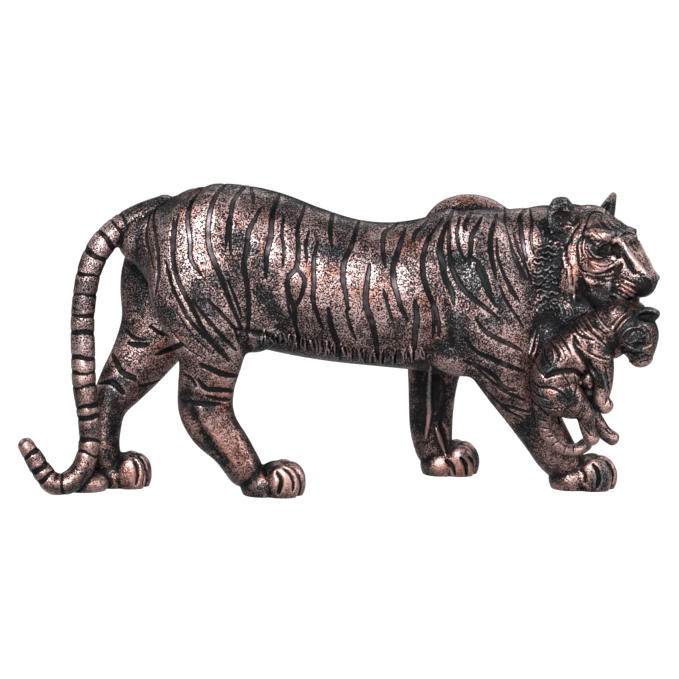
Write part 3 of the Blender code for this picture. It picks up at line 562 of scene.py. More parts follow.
# The legs and paws: grooves between the toes, the tendon down the far foreleg, the hocks' hollows
# and the folds of skin behind the shoulder and in front of the thigh.
LEG_FORMS = [
    (-2.0, 2.6, "276,472 280.5,480 280,488 278,494"),
    (-1.8, 2.4, "284,468 291,475 294,483 293,491"),
    (-1.2, 2.4, "262,468 266,476"),
    (-2.0, 2.6, "593,464 598,472 599,480 597,488"),
    (-1.8, 2.4, "606,460 611,467 613,475 611,485"),
    (-1.2, 2.2, "581,468 585,476 585,483"),
    (-1.6, 2.4, "446,460 452,466 455,476"),
    (-2.2, 2.4, "461,458 466,465 467,476"),
    (-1.6, 2.2, "469,457 474,463 474,472"),
    (-1.7, 2.4, "130,455 136,463 138,474 136,485"),
    (-1.8, 2.2, "136,453 142,461 145,472 143,485"),
    (1.6, 2.4, "436,428 440,440 446,456"),
    (-2.0, 3.4, "440,424 445,436 448,448"),
    (1.4, 3.0, "431,366 429,390 429,414 426,438"),
    (-1.4, 4.0, "437,372 436,392 435,412"),
    (-0.5, 4.0, "190,400 196,420 208,440 222,458"),
    (0.5, 5.0, "199,404 207,424 221,444 236,464"),
    (-1.5, 3.0, "98,383.5 111,382 124,394"),
    (-1.5, 6.0, "446,300 449,325 452,346"),
    (-2.2, 6.0, "238,330 247,350 250,362"),
    (1.3, 1.6, "535.5,330 532.5,341 529,354"),
    (1.0, 1.2, "539,334 537,346 533,357"),
    (-1.6, 4.0, "236,330 262,334 285,343"),
    (1.2, 5.0, "265,330 285,336 300,345"),
]
LEG_LINES = [
    (-0.9, 1.4, "119,370 128,374 137,377"),
    (-0.8, 1.2, "187,300 205,330 224,352 236,366"),
    (-0.8, 1.2, "176,312 192,335 210,352"),
    (-0.8, 1.2, "170,330 186,348 202,358"),
]
worked(tigress_skin, LEG_FORMS + LEG_LINES)

# The tiger's stripes: sunk bands with a cut line along each edge, laid over the flanks from the
# spine down and drawn on the near side; the far side is their mirror image.
STRIPES = [
    (1.4, "173.3,218 173,225 172,249 177,278 192,308 211,342 229,361"),
    (1.5, "212.6,177 207,184 196,195 188,212 190,241 191,259 201,275"),
    (1.7, "229.6,178 224,185 216,195 211,208 208,225 209,246 216,266 224,285 231,304 242,329"),
    (1.4, "246.8,182 242,189 233,202 231,215 228,227 226,246"),
    (1.7, "260.5,208 257,215 249,231 247,246 244,266 247,285 249,310 247,336"),
    (1.1, "250.8,185 252,192 254,204"),
    (1.8, "279.5,194 277,201 273,212 271,234 267,253 266,278"),
    (1.5, "305.2,204 303,211 298,227 298,246 298,259 296,268 288,278 288,291 294,308 295,323 "
     "298,336 299,349"),
    (1.3, "296,268 304,278 303,291 295,308"),
    (1.5, "318,241 314,259 314,285 313,298 318,317 323,329"),
    (1.4, "333.1,211 332,218 330,231 332,246"),
    (1.7, "328,308 332,329 339,349 340,359"),
    (1.7, "359.1,220 357,227 352,244 344,263 343,278 346,295 348,310"),
    (2.0, "370,264 367,283 366,304 372,323 376,341 378,357"),
    (1.4, "399.6,219 394,226 385,232 383,244 384,258 386,267"),
    (1.8, "405.2,228 403,235 398,251 393,270 394,283 398,297 403,312 408,321"),
    (1.4, "427.6,220 422,227 416,232 413,241"),
    (2.0, "415,300 417,318 415,335 415,350"),
    (1.7, "441.5,219 437,226 428,240 423,258 424,278 429,295 436,310 439,327 439,336"),
    (2.1, "454,207 451,214 445,228 440,244 443,266 445,278 452,292 454,304"),
    (1.5, "449,221 449,228 449,249 454,272 462,287 473,298 491,312 500,320"),
    (1.4, "471.8,209 469,216 465,226 467,230"),
    (1.5, "481.8,217 478,224 472,235 471,249 469,265"),
    (1.7, "497,214 495,221 491,235 491,251 494,267 496,278"),
    (1.4, "476,265 483,279 488,292 496,306"),
    (1.4, "476,319 485,331 494,337 511,345 522,351"),
    (1.4, "465,338 473,349 497,361 523,371"),
    (1.4, "464,361 485,370 494,376 504,387 516,391"),
    (1.5, "528.7,204 524,211 520,217 521,227 524,249 527,260"),
    (1.3, "514,253 521,269 527,279"),
    (1.3, "505,276 512,291 517,299"),
    (1.2, "158,205 154,214 154,226 156,240 158,258 158,278 155,295"),
    (0.9, "150,214 147,226 146,240 150,254 153,268"),
    (1.0, "178,214 175,228 174,242 173,258"),
    (1.0, "166,262 170,280 176,296 186,312"),
    (1.1, "176,296 184,312 196,328 210,342 220,354"),
    (1.1, "192,300 206,318 222,336 236,350"),
    (0.9, "208,300 222,314 234,328 240,342"),
    (0.9, "228,280 236,300 242,318"),
    (0.8, "232,222 230,238 231,254"),
    (0.9, "284,216 282,232 284,250 283,266"),
    (0.8, "289,290 288,304 291,318"),
    (0.9, "309,230 306,246 307,262"),
    (0.9, "346,310 350,326 356,340"),
    (0.9, "384,290 388,306 392,320"),
    (0.9, "432,306 434,322 433,338"),
    (0.9, "460,216 457,232 459,248 466,262"),
    (0.9, "463,263 470,257 478,262 486,276 492,294"),
    (0.9, "497,238 498,256 504,274 513,290 520,302"),
    (0.8, "505,206 505,222 510,238 514,256 521,272"),
    (0.9, "530,208 532,222 531,238 534,254"),
    (0.8, "514,234 519,250 526,266 532,284"),
    (0.9, "500,286 508,304 518,318 524,328"),
    (0.9, "480,352 496,362 512,368 526,372"),
    (0.9, "474,366 490,380 506,392 524,400"),
    (0.9, "486,390 498,402 510,412 522,418"),
    (0.8, "500,404 514,408 528,412"),
]
NEAR_LEG_BANDS = [
    (1.8, "200,364 213,370 226,375 238,376"),
    (1.6, "198,380 205,388 220,390 236,391"),
    (1.4, "182,401 194,403 206,404 220,404"),
    (0.9, "206,396 218,399 230,400"),
    (0.9, "184,374 190,378 196,386"),
    (1.8, "128,343 138,345 148,345"),
    (1.8, "158,354 168,350 182,344"),
    (1.6, "112,354 117,364 122,374"),
    (1.5, "116,366 126,375 136,380"),
    (1.0, "126,330 134,338 144,340"),
    (1.0, "150,326 158,332 168,336"),
    (1.0, "140,386 150,384 160,380"),
    (1.2, "538,420 544,428 550,440"),
    (1.2, "548,402 556,410 560,424"),
]
TAIL_BANDS = (
    "126,225 118,231 108,241 96,255 90,274 85,294 81,316 82,332 82,357 86,371 88,384 88,405 "
    "88,417 89,440 84,452 61,476 51,474 42,466 31,452"
)
MIDDLE = (Vector((0, 0, 0)), Vector((0, 1, 0)))
STRIPE_DEPTH = 0.45
EDGE_REACH = 1.5
RING_HALF_WIDTH = 1.0
RING_SWELL = 0.6
RING_WANDER = 0.9
RING_RIPPLE = 0.5
flank_samples = []
band_samples = []


def nearness(skin, samples, reach):
    """For each point of the skin how far it lies inside the samples' discs, down to -reach."""
    inside = np.full(len(skin.points), -reach)
    for place, normal, half_width in samples:
        for _, i, distance in skin.index.find_range(place, half_width + reach):
            depth = half_width - distance
            if depth > inside[i] and skin.normals[i] @ normal > 0.15:
                inside[i] = depth
    return inside


for half_width, stroke in STRIPES:
    flank_samples += laid(tigress_skin, stroke, half_width, (None, MIDDLE))
for half_width, stroke in NEAR_LEG_BANDS:
    band_samples += laid(tigress_skin, stroke, half_width)
tail_path = curve_through(tail_rows, 0.5)
tail_ways = np.gradient(tail_path[:, :3], axis=0)
for band, point in enumerate(TAIL_BANDS.split()):
    start, direction = ray_through(*(float(v) for v in point.split(",")))
    off = np.linalg.norm(np.cross(tail_path[:, :3] - np.array(start), np.array(direction)), axis=1)
    k = int(off.argmin())
    way = Vector(tail_ways[k]).normalized()
    side = (Vector((0, 1, 0)) - way * way.y).normalized()
    for degrees in range(0, 360, 6):
        a = math.radians(degrees)
        out = way.cross(side) * math.cos(a) + side * math.sin(a)
        wander = RING_WANDER * math.sin(a + band) + RING_RIPPLE * math.sin(3 * a + 2.1 * band)
        guess = Vector(tail_path[k, :3]) + way * wander + out * tail_path[k, 3]
        place, normal, _, distance = tigress_skin.surface.find_nearest(guess)
        if place is not None and distance < TAIL_RADIUS / 2:
            half_width = RING_HALF_WIDTH + RING_SWELL * math.sin(a + 1.3 * band)
            band_samples.append((place, normal, half_width))
black_bands = nearness(tigress_skin, band_samples, EDGE_REACH)
stripe = np.maximum(nearness(tigress_skin, flank_samples, EDGE_REACH), black_bands)
tigress_skin.shift -= STRIPE_DEPTH * np.clip(stripe / 0.6, 0, 1)
tigress_skin.shift -= STRIPE_DEPTH * np.clip(1 - np.abs(stripe) / 0.8, 0, 1)

# The long hair: short curled locks along the belly, wool-like curls behind the cheek and longer
# ones on the chest and at the ear's root, most of them raised beside a cut line of their own.
def curled(x, y, length, lean, bend):
    """A hooked lock of hair that starts at a picture point, as a stroke."""
    points = []
    for share in (0.0, 0.25, 0.5, 0.75, 1.0):
        a = math.radians(lean + bend * (share - 0.5) * 2)
        points.append((x, y))
        x += length / 4 * math.cos(a)
        y += length / 4 * math.sin(a)
    return " ".join(f"{x:.1f},{y:.1f}" for x, y in points)


BELLY = np.array([(262, 347), (285, 349), (310, 354), (340, 361), (370, 367), (395, 368), (420, 363)])
locks = []
for k in range(56):
    wave = math.sin(2.3 * k) + math.sin(1.1 * k + 1)
    x = 264 + 2.85 * k - 1.5 * wave
    y = float(np.interp(264 + 2.85 * k, BELLY[:, 0], BELLY[:, 1])) - 16 - 1.5 * wave
    shape = (12 + 2 * wave, 82 + 12 * wave, 34 * math.cos(1.7 * k))
    locks += [(1.5, 1.3, curled(x, y, *shape)), (-1.5, 1.0, curled(x + 1.4, y, *shape))]
for row in range(15):
    for column in range(3):
        wave = math.sin(2.9 * row + 1.7 * column)
        x = 536 + 7.2 * column + 1.5 * wave
        y = 246 + 4.4 * row + 2.0 * math.sin(1.3 * column + row)
        shape = (8.5, -8 + 22 * wave, 60 if (row + column) % 2 else -60)
        locks += [(1.3, 1.0, curled(x, y, *shape)), (-1.0, 0.8, curled(x, y + 2.2, *shape))]
for k in range(9):
    wave = math.sin(1.9 * k)
    x, y, lean = 549 + 2.4 * k, 303 + 1.5 * wave, 62 + 14 * wave
    locks.append((0.9, 1.2, curled(x, y, 13.0, lean, 26)))
    locks.append((-0.8, 0.9, curled(x + 1.4, y + 1, 12.0, lean, 26)))
for k in range(7):
    lean = -30 + 20 * math.sin(2.1 * k)
    locks.append((0.8, 1.1, curled(544 + 2.0 * k, 232 + 3.4 * k, 9.0, lean, 40)))
for k in range(8):
    x, y, bend = 562 + 1.7 * k, 246 + 7.0 * k, 24 * math.cos(2.0 * k)
    locks.append((0.8, 1.1, curled(x, y, 9.0, 84, bend)))
    locks.append((-0.8, 0.9, curled(x + 3, y - 3, 9.0, 84, bend)))
worked(tigress_skin, locks)
tigress_skin.write()

# The finish: the casting is blackened all over, then rubbed with copper paint that stays on the
# raised fur; the sunk stripes keep a dark bluish sheen.
# Painted highlights and painted shade also change how much copper shows, through the tone strokes set
# further down.
BLACK = ((0.0015, 0.0022, 0.0026, 1), (0.005, 0.003, 0.003, 1))
COPPER = (0.26, 0.105, 0.075, 1)
PALE_COPPER = (0.32, 0.225, 0.22, 1)
THIN_COPPER = (0.080, 0.076, 0.082, 1)
STRIPE_SHEEN = (0.066, 0.064, 0.082, 1)
FURS_TO_A_METRE = 1020.0
BLOTS_TO_A_METRE = 105.0
PATCHES_TO_A_METRE = 42.0
FUR_RELIEF = 0.0008


class Number:
    """A socket that carries a number, so that shader maths reads as an expression."""

    def __init__(self, shader, socket):
        self.shader = shader
        self.socket = socket

    def maths(self, operation, *others, clamp=False):
        settings = {"operation": operation, "use_clamp": clamp}
        node = self.shader.node("ShaderNodeMath", settings, dict(enumerate((self, *others))))
        return Number(self.shader, node.outputs[0])

    def __add__(self, other):
        return self.maths("ADD", other)

    def __mul__(self, other):
        return self.maths("MULTIPLY", other)

    def __sub__(self, other):
        return self.maths("SUBTRACT", other)

    def __rsub__(self, other):
        return (self * -1) + other

    __radd__ = __add__
    __rmul__ = __mul__

    def clamped(self):
        return self.maths("ADD", 0.0, clamp=True)

    def between(self, low, high):
        """0 below low and 1 above high, with a soft step."""
        inputs = {"Value": self, "From Min": low, "From Max": high}
        node = self.shader.node("ShaderNodeMapRange", {"interpolation_type": "SMOOTHSTEP"}, inputs)
        return Number(self.shader, node.outputs[0])


class Shader:
    """The nodes of a material or of the world."""

    def __init__(self, owner):
        owner.use_nodes = True
        self.owner = owner
        self.tree = owner.node_tree

    def feed(self, node, inputs):
        """Values, numbers and sockets put on a node's inputs, which are named or counted."""
        for name, value in inputs.items():
            if isinstance(value, Number):
                value = value.socket
            if isinstance(value, bpy.types.NodeSocket):
                self.tree.links.new(value, node.inputs[name])
            else:
                node.inputs[name].default_value = value
        return node

    def node(self, kind, settings, inputs):
        made = self.tree.nodes.new(kind)
        for name, value in settings.items():
            setattr(made, name, value)
        return self.feed(made, inputs)

    def attribute(self, name):
        made = self.node("ShaderNodeAttribute", {"attribute_name": name}, {})
        return Number(self, made.outputs["Fac"])

    def noise(self, scale, detail, roughness, distortion):
        place = self.node("ShaderNodeTexCoord", {}, {}).outputs["Object"]
        inputs = {"Scale": scale, "Detail": detail, "Roughness": roughness, "Distortion": distortion}
        return Number(self, self.node("ShaderNodeTexNoise", {}, {"Vector": place, **inputs}).outputs[0])

    def mixed(self, share, first, second):
        inputs = {"Factor": share, 6: first, 7: second}
        return self.node("ShaderNodeMix", {"data_type": "RGBA"}, inputs).outputs[2]

    def seen_by_camera(self):
        return Number(self, self.node("ShaderNodeLightPath", {}, {}).outputs["Is Camera Ray"])


def antique_copper():
    """Copper where a level of patches, blots, rubbing and painted highlights is high, and less of it
    under painted shade, broken up by the grain of fur.
    """
    shader = Shader(bpy.data.materials.new("antique_copper"))
    fur = shader.noise(FURS_TO_A_METRE, 1.0, 0.5, 0.6)
    patches = shader.noise(PATCHES_TO_A_METRE, 3.0, 0.55, 0.0)
    blots = shader.noise(BLOTS_TO_A_METRE, 4.0, 0.6, 0.4)
    stripe_depth = shader.attribute("stripe")
    in_stripe = stripe_depth.between(-0.1, 0.3)
    cut_line = 1 - stripe_depth.maths("ABSOLUTE").between(0.15, 0.62)
    worn = shader.attribute("worn")
    grain = (fur - 0.5) * (8.2 - 4.6 * worn)
    level = (patches - 0.5) * 1.3 + (blots - 0.5) * (1.0 + 0.4 * worn)
    # The level adds the tone strokes: rubbing, painted highlights, painted shade and a painted shadow
    # under the jaw.
    level = level + shader.attribute("rub_and_painted_light") - 0.14
    on_fur = grain - shader.attribute("hollow") * 1.3
    rubbed_and_painted_light = (level + on_fur * (1 - in_stripe) + 0.12 * in_stripe).clamped()
    copper = (rubbed_and_painted_light * (1 - 0.15 * in_stripe) * (1 - cut_line)).clamped()
    pale = (patches * 0.5 + blots * 0.5).between(0.38, 0.58) * (1 - 0.4 * worn)
    thick = shader.mixed(pale, COPPER, PALE_COPPER)
    paint = shader.mixed(level.between(-0.5, 0.05), THIN_COPPER, thick)
    paint = shader.mixed(in_stripe * 0.8, paint, STRIPE_SHEEN)
    black = shader.mixed(patches.between(0.35, 0.65), *BLACK)
    height = fur * (1 - in_stripe * 0.9) * (1 - worn * 0.5)
    relief = {"Strength": 0.8, "Distance": FUR_RELIEF, "Height": height}
    bump = shader.node("ShaderNodeBump", {}, relief)
    surface = {
        "Base Color": shader.mixed(copper, black, paint),
        "Metallic": copper.between(0.0, 0.4),
        "Specular IOR Level": 0.06,
        "Coat Weight": copper * 0.6,
        "Coat Roughness": 0.3,
        "Roughness": 0.36 + 0.08 * patches,
        "Normal": bump.outputs[0],
    }
    shader.feed(shader.tree.nodes["Principled BSDF"], surface)
    return shader.owner


def hollows(piece):
    """How far each point lies below the fur around it and below the form, each as a share."""
    count = len(piece.data.vertices)
    points = read_all(piece.data.vertices, "co", 3)
    normals = read_all(piece.data.vertices, "normal", 3)
    edges = read_all(piece.data.edges, "vertices", 2, np.int32)
    ends = np.concatenate([edges[:, 0], edges[:, 1]])
    others = np.concatenate([edges[:, 1], edges[:, 0]])
    neighbours = np.maximum(np.bincount(ends, None, count), 1)
    hollow = np.zeros(count)
    for rounds, depth, least, most in ((6, 0.5, -1, 1.5), (60, 3.0, -0.6, 0.8)):
        smooth = points.copy()
        for _ in range(rounds):
            means = [np.bincount(ends, smooth[others, k], count) / neighbours for k in range(3)]
            smooth = np.stack(means, 1)
        hollow += np.clip(((smooth - points) * normals).sum(1) / depth, least, most)
    return hollow


def rub_and_painted_light_from(skin, strokes, mirrors=(None,)):
    """How much more or less copper shows at each point, from broad soft strokes: partly rubbing, partly
    painted highlights and painted shade.
    """
    rub_and_painted_light = np.zeros(len(skin.points))
    for amount, half_width, stroke in strokes:
        samples = laid(skin, stroke, half_width, mirrors, half_width / 3)
        rub_and_painted_light += amount * share_under(skin, samples, -0.2)
    return rub_and_painted_light


TRIANGLES = 195000
LEGS_WORN_BELOW = 105
LEGS_FADE = 30
FACE_WORN_WITHIN = 52
FACE_FADE = 14
FACE_WEAR = 0.6
# Broad strokes that change how much copper shows: thinner and thicker rubbing, and also painted
# highlights, painted shade and a painted shadow, marked below.
RUB_AND_PAINTED_LIGHT = [
    # Painted highlights: where the key lamp shines on the haunch and the middle of the flank.
    (0.4, 22, "190,215 198,235 208,258"),
    (0.3, 18, "240,215 262,232 275,250"),
    (0.35, 26, "300,268 345,282 395,290"),
    (0.35, 16, "372,232 398,240 420,246"),
    (0.25, 18, "425,300 432,320 430,340"),
    (0.3, 12, "502,235 520,240 530,262"),
    (0.3, 14, "505,330 530,352 545,380"),
    (0.4, 16, "150,362 166,352 176,340"),
    (0.4, 14, "218,372 225,395 222,415"),
    (0.4, 14, "216,425 232,448 244,466"),
    (0.2, 12, "262,478 280,482 290,484"),
    (0.3, 14, "110,470 128,478 140,480"),
    (0.2, 14, "548,410 562,440 575,462"),
    (0.1, 12, "580,476 596,480 606,478"),
    (0.3, 12, "440,462 460,470 472,470"),
    (0.5, 8, "571,246 572,262 574,282 576,296"),
    (0.5, 8, "533,232 536,246"),
    (-0.2, 17, "452,262 468,260 474,282"),
    (-0.4, 11, "502,300 500,318 480,322"),
    (-0.3, 10, "470,226 476,232"),
    (-0.35, 10, "228,236 240,240 250,246"),
    (-0.4, 11, "268,296 276,312"),
    (-0.5, 12, "196,285 200,302 214,312"),
    (-0.4, 11, "306,246 322,252 345,254"),
    (-0.4, 10, "378,262 392,268"),
    (-0.4, 10, "138,225 138,260 140,310"),
    (-0.1, 12, "92,250 84,310 88,370 92,430"),
    (-0.6, 12, "262,346 276,346 295,350"),
    (-0.2, 12, "310,352 345,360 390,365 425,362"),
    # Painted shade along the top of the haunch and back.
    (-0.7, 14, "200,185 235,180 275,192"),
    (-0.4, 12, "280,194 330,212 380,222 420,222"),
    (-0.6, 14, "456,318 460,340 448,352"),
    (-1.0, 9, "436,368 438,395 440,420"),
    (-0.4, 8, "420,362 420,390 420,430"),
    (-0.35, 12, "547,244 547,268 547,296"),
    (-0.8, 13, "548,306 552,318 560,326"),
    # Painted light on the top of the far shoulder.
    (0.6, 10, "440,203 455,198 475,197 492,203"),
    (-0.8, 12, "553,204 560,200 566,206 568,216"),
    (-0.9, 8, "549,208 551,222 556,232 562,237"),
    (-0.5, 14, "540,318 552,340 548,372 550,392"),
    (-0.4, 12, "120,380 112,400 112,430"),
    (-0.5, 8, "190,378 186,396 194,418"),
    (-0.5, 7, "270,462 264,470"),
    # Painted shadow in the gap between her jaw and the cub.
    (-1.3, 7, "574,303 590,301 606,302 620,303 632,303"),
    (-0.4, 9, "585,212 600,213"),
    (-0.6, 7, "544,222 545,236"),
    (-0.4, 7, "606,207 611,205"),
]
FACE_RUB_AND_PAINTED_LIGHT = [
    (0.4, 10, "597,262 588,262 584,250"),
    (0.6, 6, "622,242 632,254 642,266 650,276"),
    # Painted highlight along the brow.
    (0.5, 8, "596,234 606,238 612,238"),
    (0.5, 7, "623,284 630,290"),
    (-1.1, 7.5, "600,249 609,249 618,250"),
    (-0.8, 4.5, "592,247 597,251 604,256"),
    (-2.0, 9, "641,284 648,288 646,292"),
    (-2.0, 6, "640,294 647,292"),
    (-0.9, 5, "628,260 631,268"),
    (-0.9, 4, "626,252 627,255"),
    (-0.8, 6, "598,275 602,284 600,292"),
    (-0.7, 6, "581,281 584,292"),
    (-0.7, 7, "603,224 609,230 614,236"),
    (-0.6, 5, "613,246 620,252 618,258"),
    (-0.7, 5, "612,281 614,292"),
    (-0.4, 9, "584,284 590,296 604,296 616,298"),
    (0.5, 4, "586,276 590,284 593,292"),
    (0.4, 4, "600,280 604,288"),
    (0.5, 6, "634,246 644,258 652,270"),
    (0.3, 8, "585,222 600,226 612,226"),
]


def give(piece, name, values):
    layer = piece.data.attributes.new(name, "FLOAT", "POINT")
    layer.data.foreach_set("value", values.astype(np.float32))


hollow = hollows(tigress)
choose(tigress)
share = TRIANGLES / (2 * len(tigress.data.polygons))
if share < 1:
    collapse = tigress.modifiers.new("collapse", "DECIMATE")
    collapse.ratio = share
    bpy.ops.object.modifier_apply(modifier="collapse")
bpy.ops.object.mode_set(mode="EDIT")
bpy.ops.mesh.select_all(action="SELECT")
bpy.ops.mesh.bisect(plane_co=(0, 0, 0), plane_no=(0, 0, 1), use_fill=True, clear_inner=True)
bpy.ops.object.mode_set(mode="OBJECT")
points = read_all(tigress.data.vertices, "co", 3)
carved = tree_of(tigress_skin.carved())
nearest = np.array([carved.find(point)[1] for point in points.tolist()])
rub_and_painted_light = rub_and_painted_light_from(tigress_skin, RUB_AND_PAINTED_LIGHT) + rub_and_painted_light_from(tigress_skin, FACE_RUB_AND_PAINTED_LIGHT, (None, HEAD_MIDDLE))
rub_and_painted_light -= 0.9 * np.clip(black_bands / 0.5 + 0.5, 0, 1)
give(tigress, "stripe", stripe[nearest])
give(tigress, "hollow", hollow[nearest])
give(tigress, "rub_and_painted_light", rub_and_painted_light[nearest])
from_head = np.linalg.norm(points - np.array(HEAD_PLACE), axis=1)
worn_legs = np.clip((LEGS_WORN_BELOW - points[:, 2]) / LEGS_FADE, 0, 1)
worn_face = FACE_WEAR * np.clip((FACE_WORN_WITHIN - from_head) / FACE_FADE, 0, 1)
give(tigress, "worn", np.maximum(worn_legs, worn_face))
copper_paint = antique_copper()
tigress.data.materials.clear()
tigress.data.materials.append(copper_paint)

# The cub, cast with her: it hangs curled from her jaws, rests on her near foreleg and turns up its
# tail tip over her paw. It is carved and rubbed with copper like her, once a bubble that the
# melting leaves inside it is taken out.
CUB_TRUNK = [
    (190, -44, 122, 15, 12),
    (178, -45, 114, 17, 13.5),
    (165, -46, 105, 18, 14),
    (152, -47, 95, 17, 14.5),
    (145, -48, 81, 17, 14),
    (143, -48, 71, 14, 12),
]
CUB_NEAR_FORE = [
    (170, -51, 115, 11, 8.5),
    (174, -53, 102, 10.5, 8.5),
    (177, -54, 90, 8.5, 7.5),
    (178, -54, 79, 6.5, 6.2),
    (177, -54, 69, 5.6, 5.8),
    (180, -54, 64, 5.8, 6),
]
CUB_FAR_FORE = [
    (176, -40, 112, 10, 7),
    (177, -39, 97, 8, 6.5),
    (172, -39, 84, 6, 5.5),
    (167, -40, 77, 5.5, 5.5),
]
CUB_NEAR_HIND = [
    (144, -52, 84, 14, 8),
    (147, -54, 74, 15.5, 9),
    (156, -54, 67, 12, 8.5),
    (165, -53, 60, 7.2, 7),
    (168, -52, 49, 5.4, 5.6),
    (171, -52, 41, 5.6, 6),
]
CUB_FAR_HIND = [
    (156, -41, 72, 11, 7),
    (168, -40, 62, 8, 6.5),
    (176, -39, 51, 5.6, 5.4),
    (183, -39, 42, 5, 5.4),
    (188, -39, 38.5, 5, 6),
]
CUB_TAIL = [
    (137, -45, 64, 6.5, 6),
    (138, -44, 54, 5.2, 5.2),
    (140.5, -43, 45, 4.6, 4.8),
    (147, -41, 36.5, 4.4, 4.8),
    (156, -38, 31, 4.4, 5),
    (164, -35, 30.5, 4.6, 5),
    (170, -32, 33.5, 4.8, 5),
]
CUB_SKULL = [
    (188, -44, 126, 13, 13),
    (196, -46, 119, 16.5, 15.5),
    (202, -47, 111, 16, 15.5),
    (204, -48, 103, 12, 12.5),
    (205, -48, 97, 8.5, 9.5),
]
CUB_ROLLS = (CUB_TRUNK, CUB_NEAR_FORE, CUB_FAR_FORE, CUB_NEAR_HIND, CUB_FAR_HIND, CUB_TAIL, CUB_SKULL)
CUB_LUMPS = [
    ((170, -46, 83), (9, 9, 8), (0, 0, 0)),
    ((171, -44, 73), (6, 7, 8), (0, 0, 0)),
    ((160, -38, 70), (8, 8, 10), (0, 0, 0)),
    ((186, -45, 108), (10, 10, 12), (0, 0, 0)),
    ((206, -52.5, 127), (11.5, 5, 6.5), (25, -4, 10)),
    ((203, -33, 128), (8, 4, 6.5), (-20, 10, 0)),
    ((205, -51.5, 97.5), (6, 5, 5.5), (0, 0, 0)),
    ((203, -44.5, 97.5), (6, 5, 5.5), (0, 0, 0)),
]
cub_rolls = [roll_of_clay(rows, 1.5) for rows in CUB_ROLLS]
CUB_VOXEL = 0.7
CUB_WEAR = 0.85
UNSTRIPED = -1.5
cub = melted(cub_rolls + [lump_of_clay(*row) for row in CUB_LUMPS], CUB_VOXEL, smoothing=2)
cub.name = "cub"
bpy.ops.object.mode_set(mode="EDIT")
bpy.ops.mesh.select_all(action="DESELECT")
bpy.ops.object.mode_set(mode="OBJECT")
min(cub.data.vertices, key=lambda point: point.co.z).select = True
bpy.ops.object.mode_set(mode="EDIT")
bpy.ops.mesh.select_linked()
bpy.ops.mesh.select_all(action="INVERT")
bpy.ops.mesh.delete(type="VERT")
bpy.ops.object.mode_set(mode="OBJECT")
cub_skin = Skin(cub)
CUB_MIDDLE = (Vector((0, -46, 0)), Vector((0, 1, 0)))
CUB_FORMS = [
    (-2.0, 4.0, "574,336 577,347 586,361 597,376"),
    (-1.6, 3.5, "545,377 554,373 566,371 577,372 584,378"),
    (-3.0, 4.2, "640,317 648,316 655,316"),
    (-1.6, 3.5, "638,346 643,344"),
    (-1.5, 2.6, "626,352 634,355 642,353"),
    (1.6, 3.0, "580,383"),
    (1.6, 2.6, "590,387"),
]
CUB_LINES = [
    (-0.9, 1.2, "581,315 585,322 591,331 602,341 608,348"),
    (-0.9, 1.2, "573,325.5 579,334 589,339 595.5,340"),
    (-0.9, 1.2, "575,339 583,349 595.5,356 609,360"),
    (-0.8, 1.1, "593.5,319 599,328 607,335"),
    (-0.9, 1.2, "559,334 565,343 572,354"),
    (-0.9, 1.2, "549,341 556,349 559,357 558,362"),
    (-0.9, 1.2, "544.5,346 545.5,357 551,366"),
    (-0.8, 1.1, "535,361 538,369 543.5,375.5"),
    (-0.8, 1.1, "563,374.5 569,384 571,392"),
    (-0.8, 1.1, "575,375.5 577,387 574,396"),
    (-1.0, 1.3, "533,382 540,387 552,388 561,392 568,400 570,402"),
    (-0.9, 1.2, "530,387 538,395 548,399"),
    (-0.9, 1.2, "532,395 540,405 554,409 564,408"),
    (-0.7, 1.0, "637,341 641,339 646,341"),
    (-0.8, 1.1, "629,336 633,331 640,330 646,334"),
    (-0.7, 1.0, "627,343 632,347 638,349"),
    (-0.7, 1.0, "645,327 650,333 651,341"),
    (0.8, 1.1, "577,321 583,330 593,338 602,344"),
    (0.8, 1.1, "586,317 592,327 602,337"),
    (0.8, 1.1, "596,314 603,325 609,331"),
    (0.9, 1.2, "612,330 617,322 626,313"),
    (0.9, 1.1, "617,331 623,323 630,317"),
    (-0.8, 1.0, "615,331 620,323 628,315"),
    (0.8, 1.1, "571,334 577,344 586,352 597,359"),
    (0.8, 1.1, "556,343 561,350 564,359"),
    (0.8, 1.1, "553,349 555,357 554,363"),
    (-0.7, 1.0, "604,364 607,374 609,386 611,396"),
    (0.7, 1.1, "601,366 604,378 607,390"),
    (0.8, 1.1, "622,336 626,331 632,328 640,327"),
    (-0.7, 1.0, "624,341 628,345 634,347"),
    (0.8, 1.0, "630,343 636,340.5 641,341.5 645,344"),
    (0.8, 1.1, "642,350 647,347.5 652,345"),
    (-0.7, 1.0, "641,357 646,355 650,356"),
    (0.8, 1.0, "626,358 631,362 636,364"),
    (-0.8, 1.0, "640,363 644,361 648,361"),
    (-0.8, 1.0, "576,417 583,426 592,437"),
    (-0.8, 1.0, "604,428 611,434"),
    (-0.8, 1.0, "607,398 606,404"),
    (-0.8, 1.0, "611,399 611,405"),
    (-0.8, 1.0, "540,420 548,421"),
    (-0.8, 1.0, "541,428 550,429"),
    (-0.8, 1.0, "545,437 554,436"),
    (-0.8, 1.0, "552,446 559,441"),
    (-0.8, 1.0, "564,453 567,446"),
    (-0.8, 1.0, "574,453 574,446"),
]
worked(cub_skin, CUB_FORMS + CUB_LINES, (None, CUB_MIDDLE))
cub_skin.write()
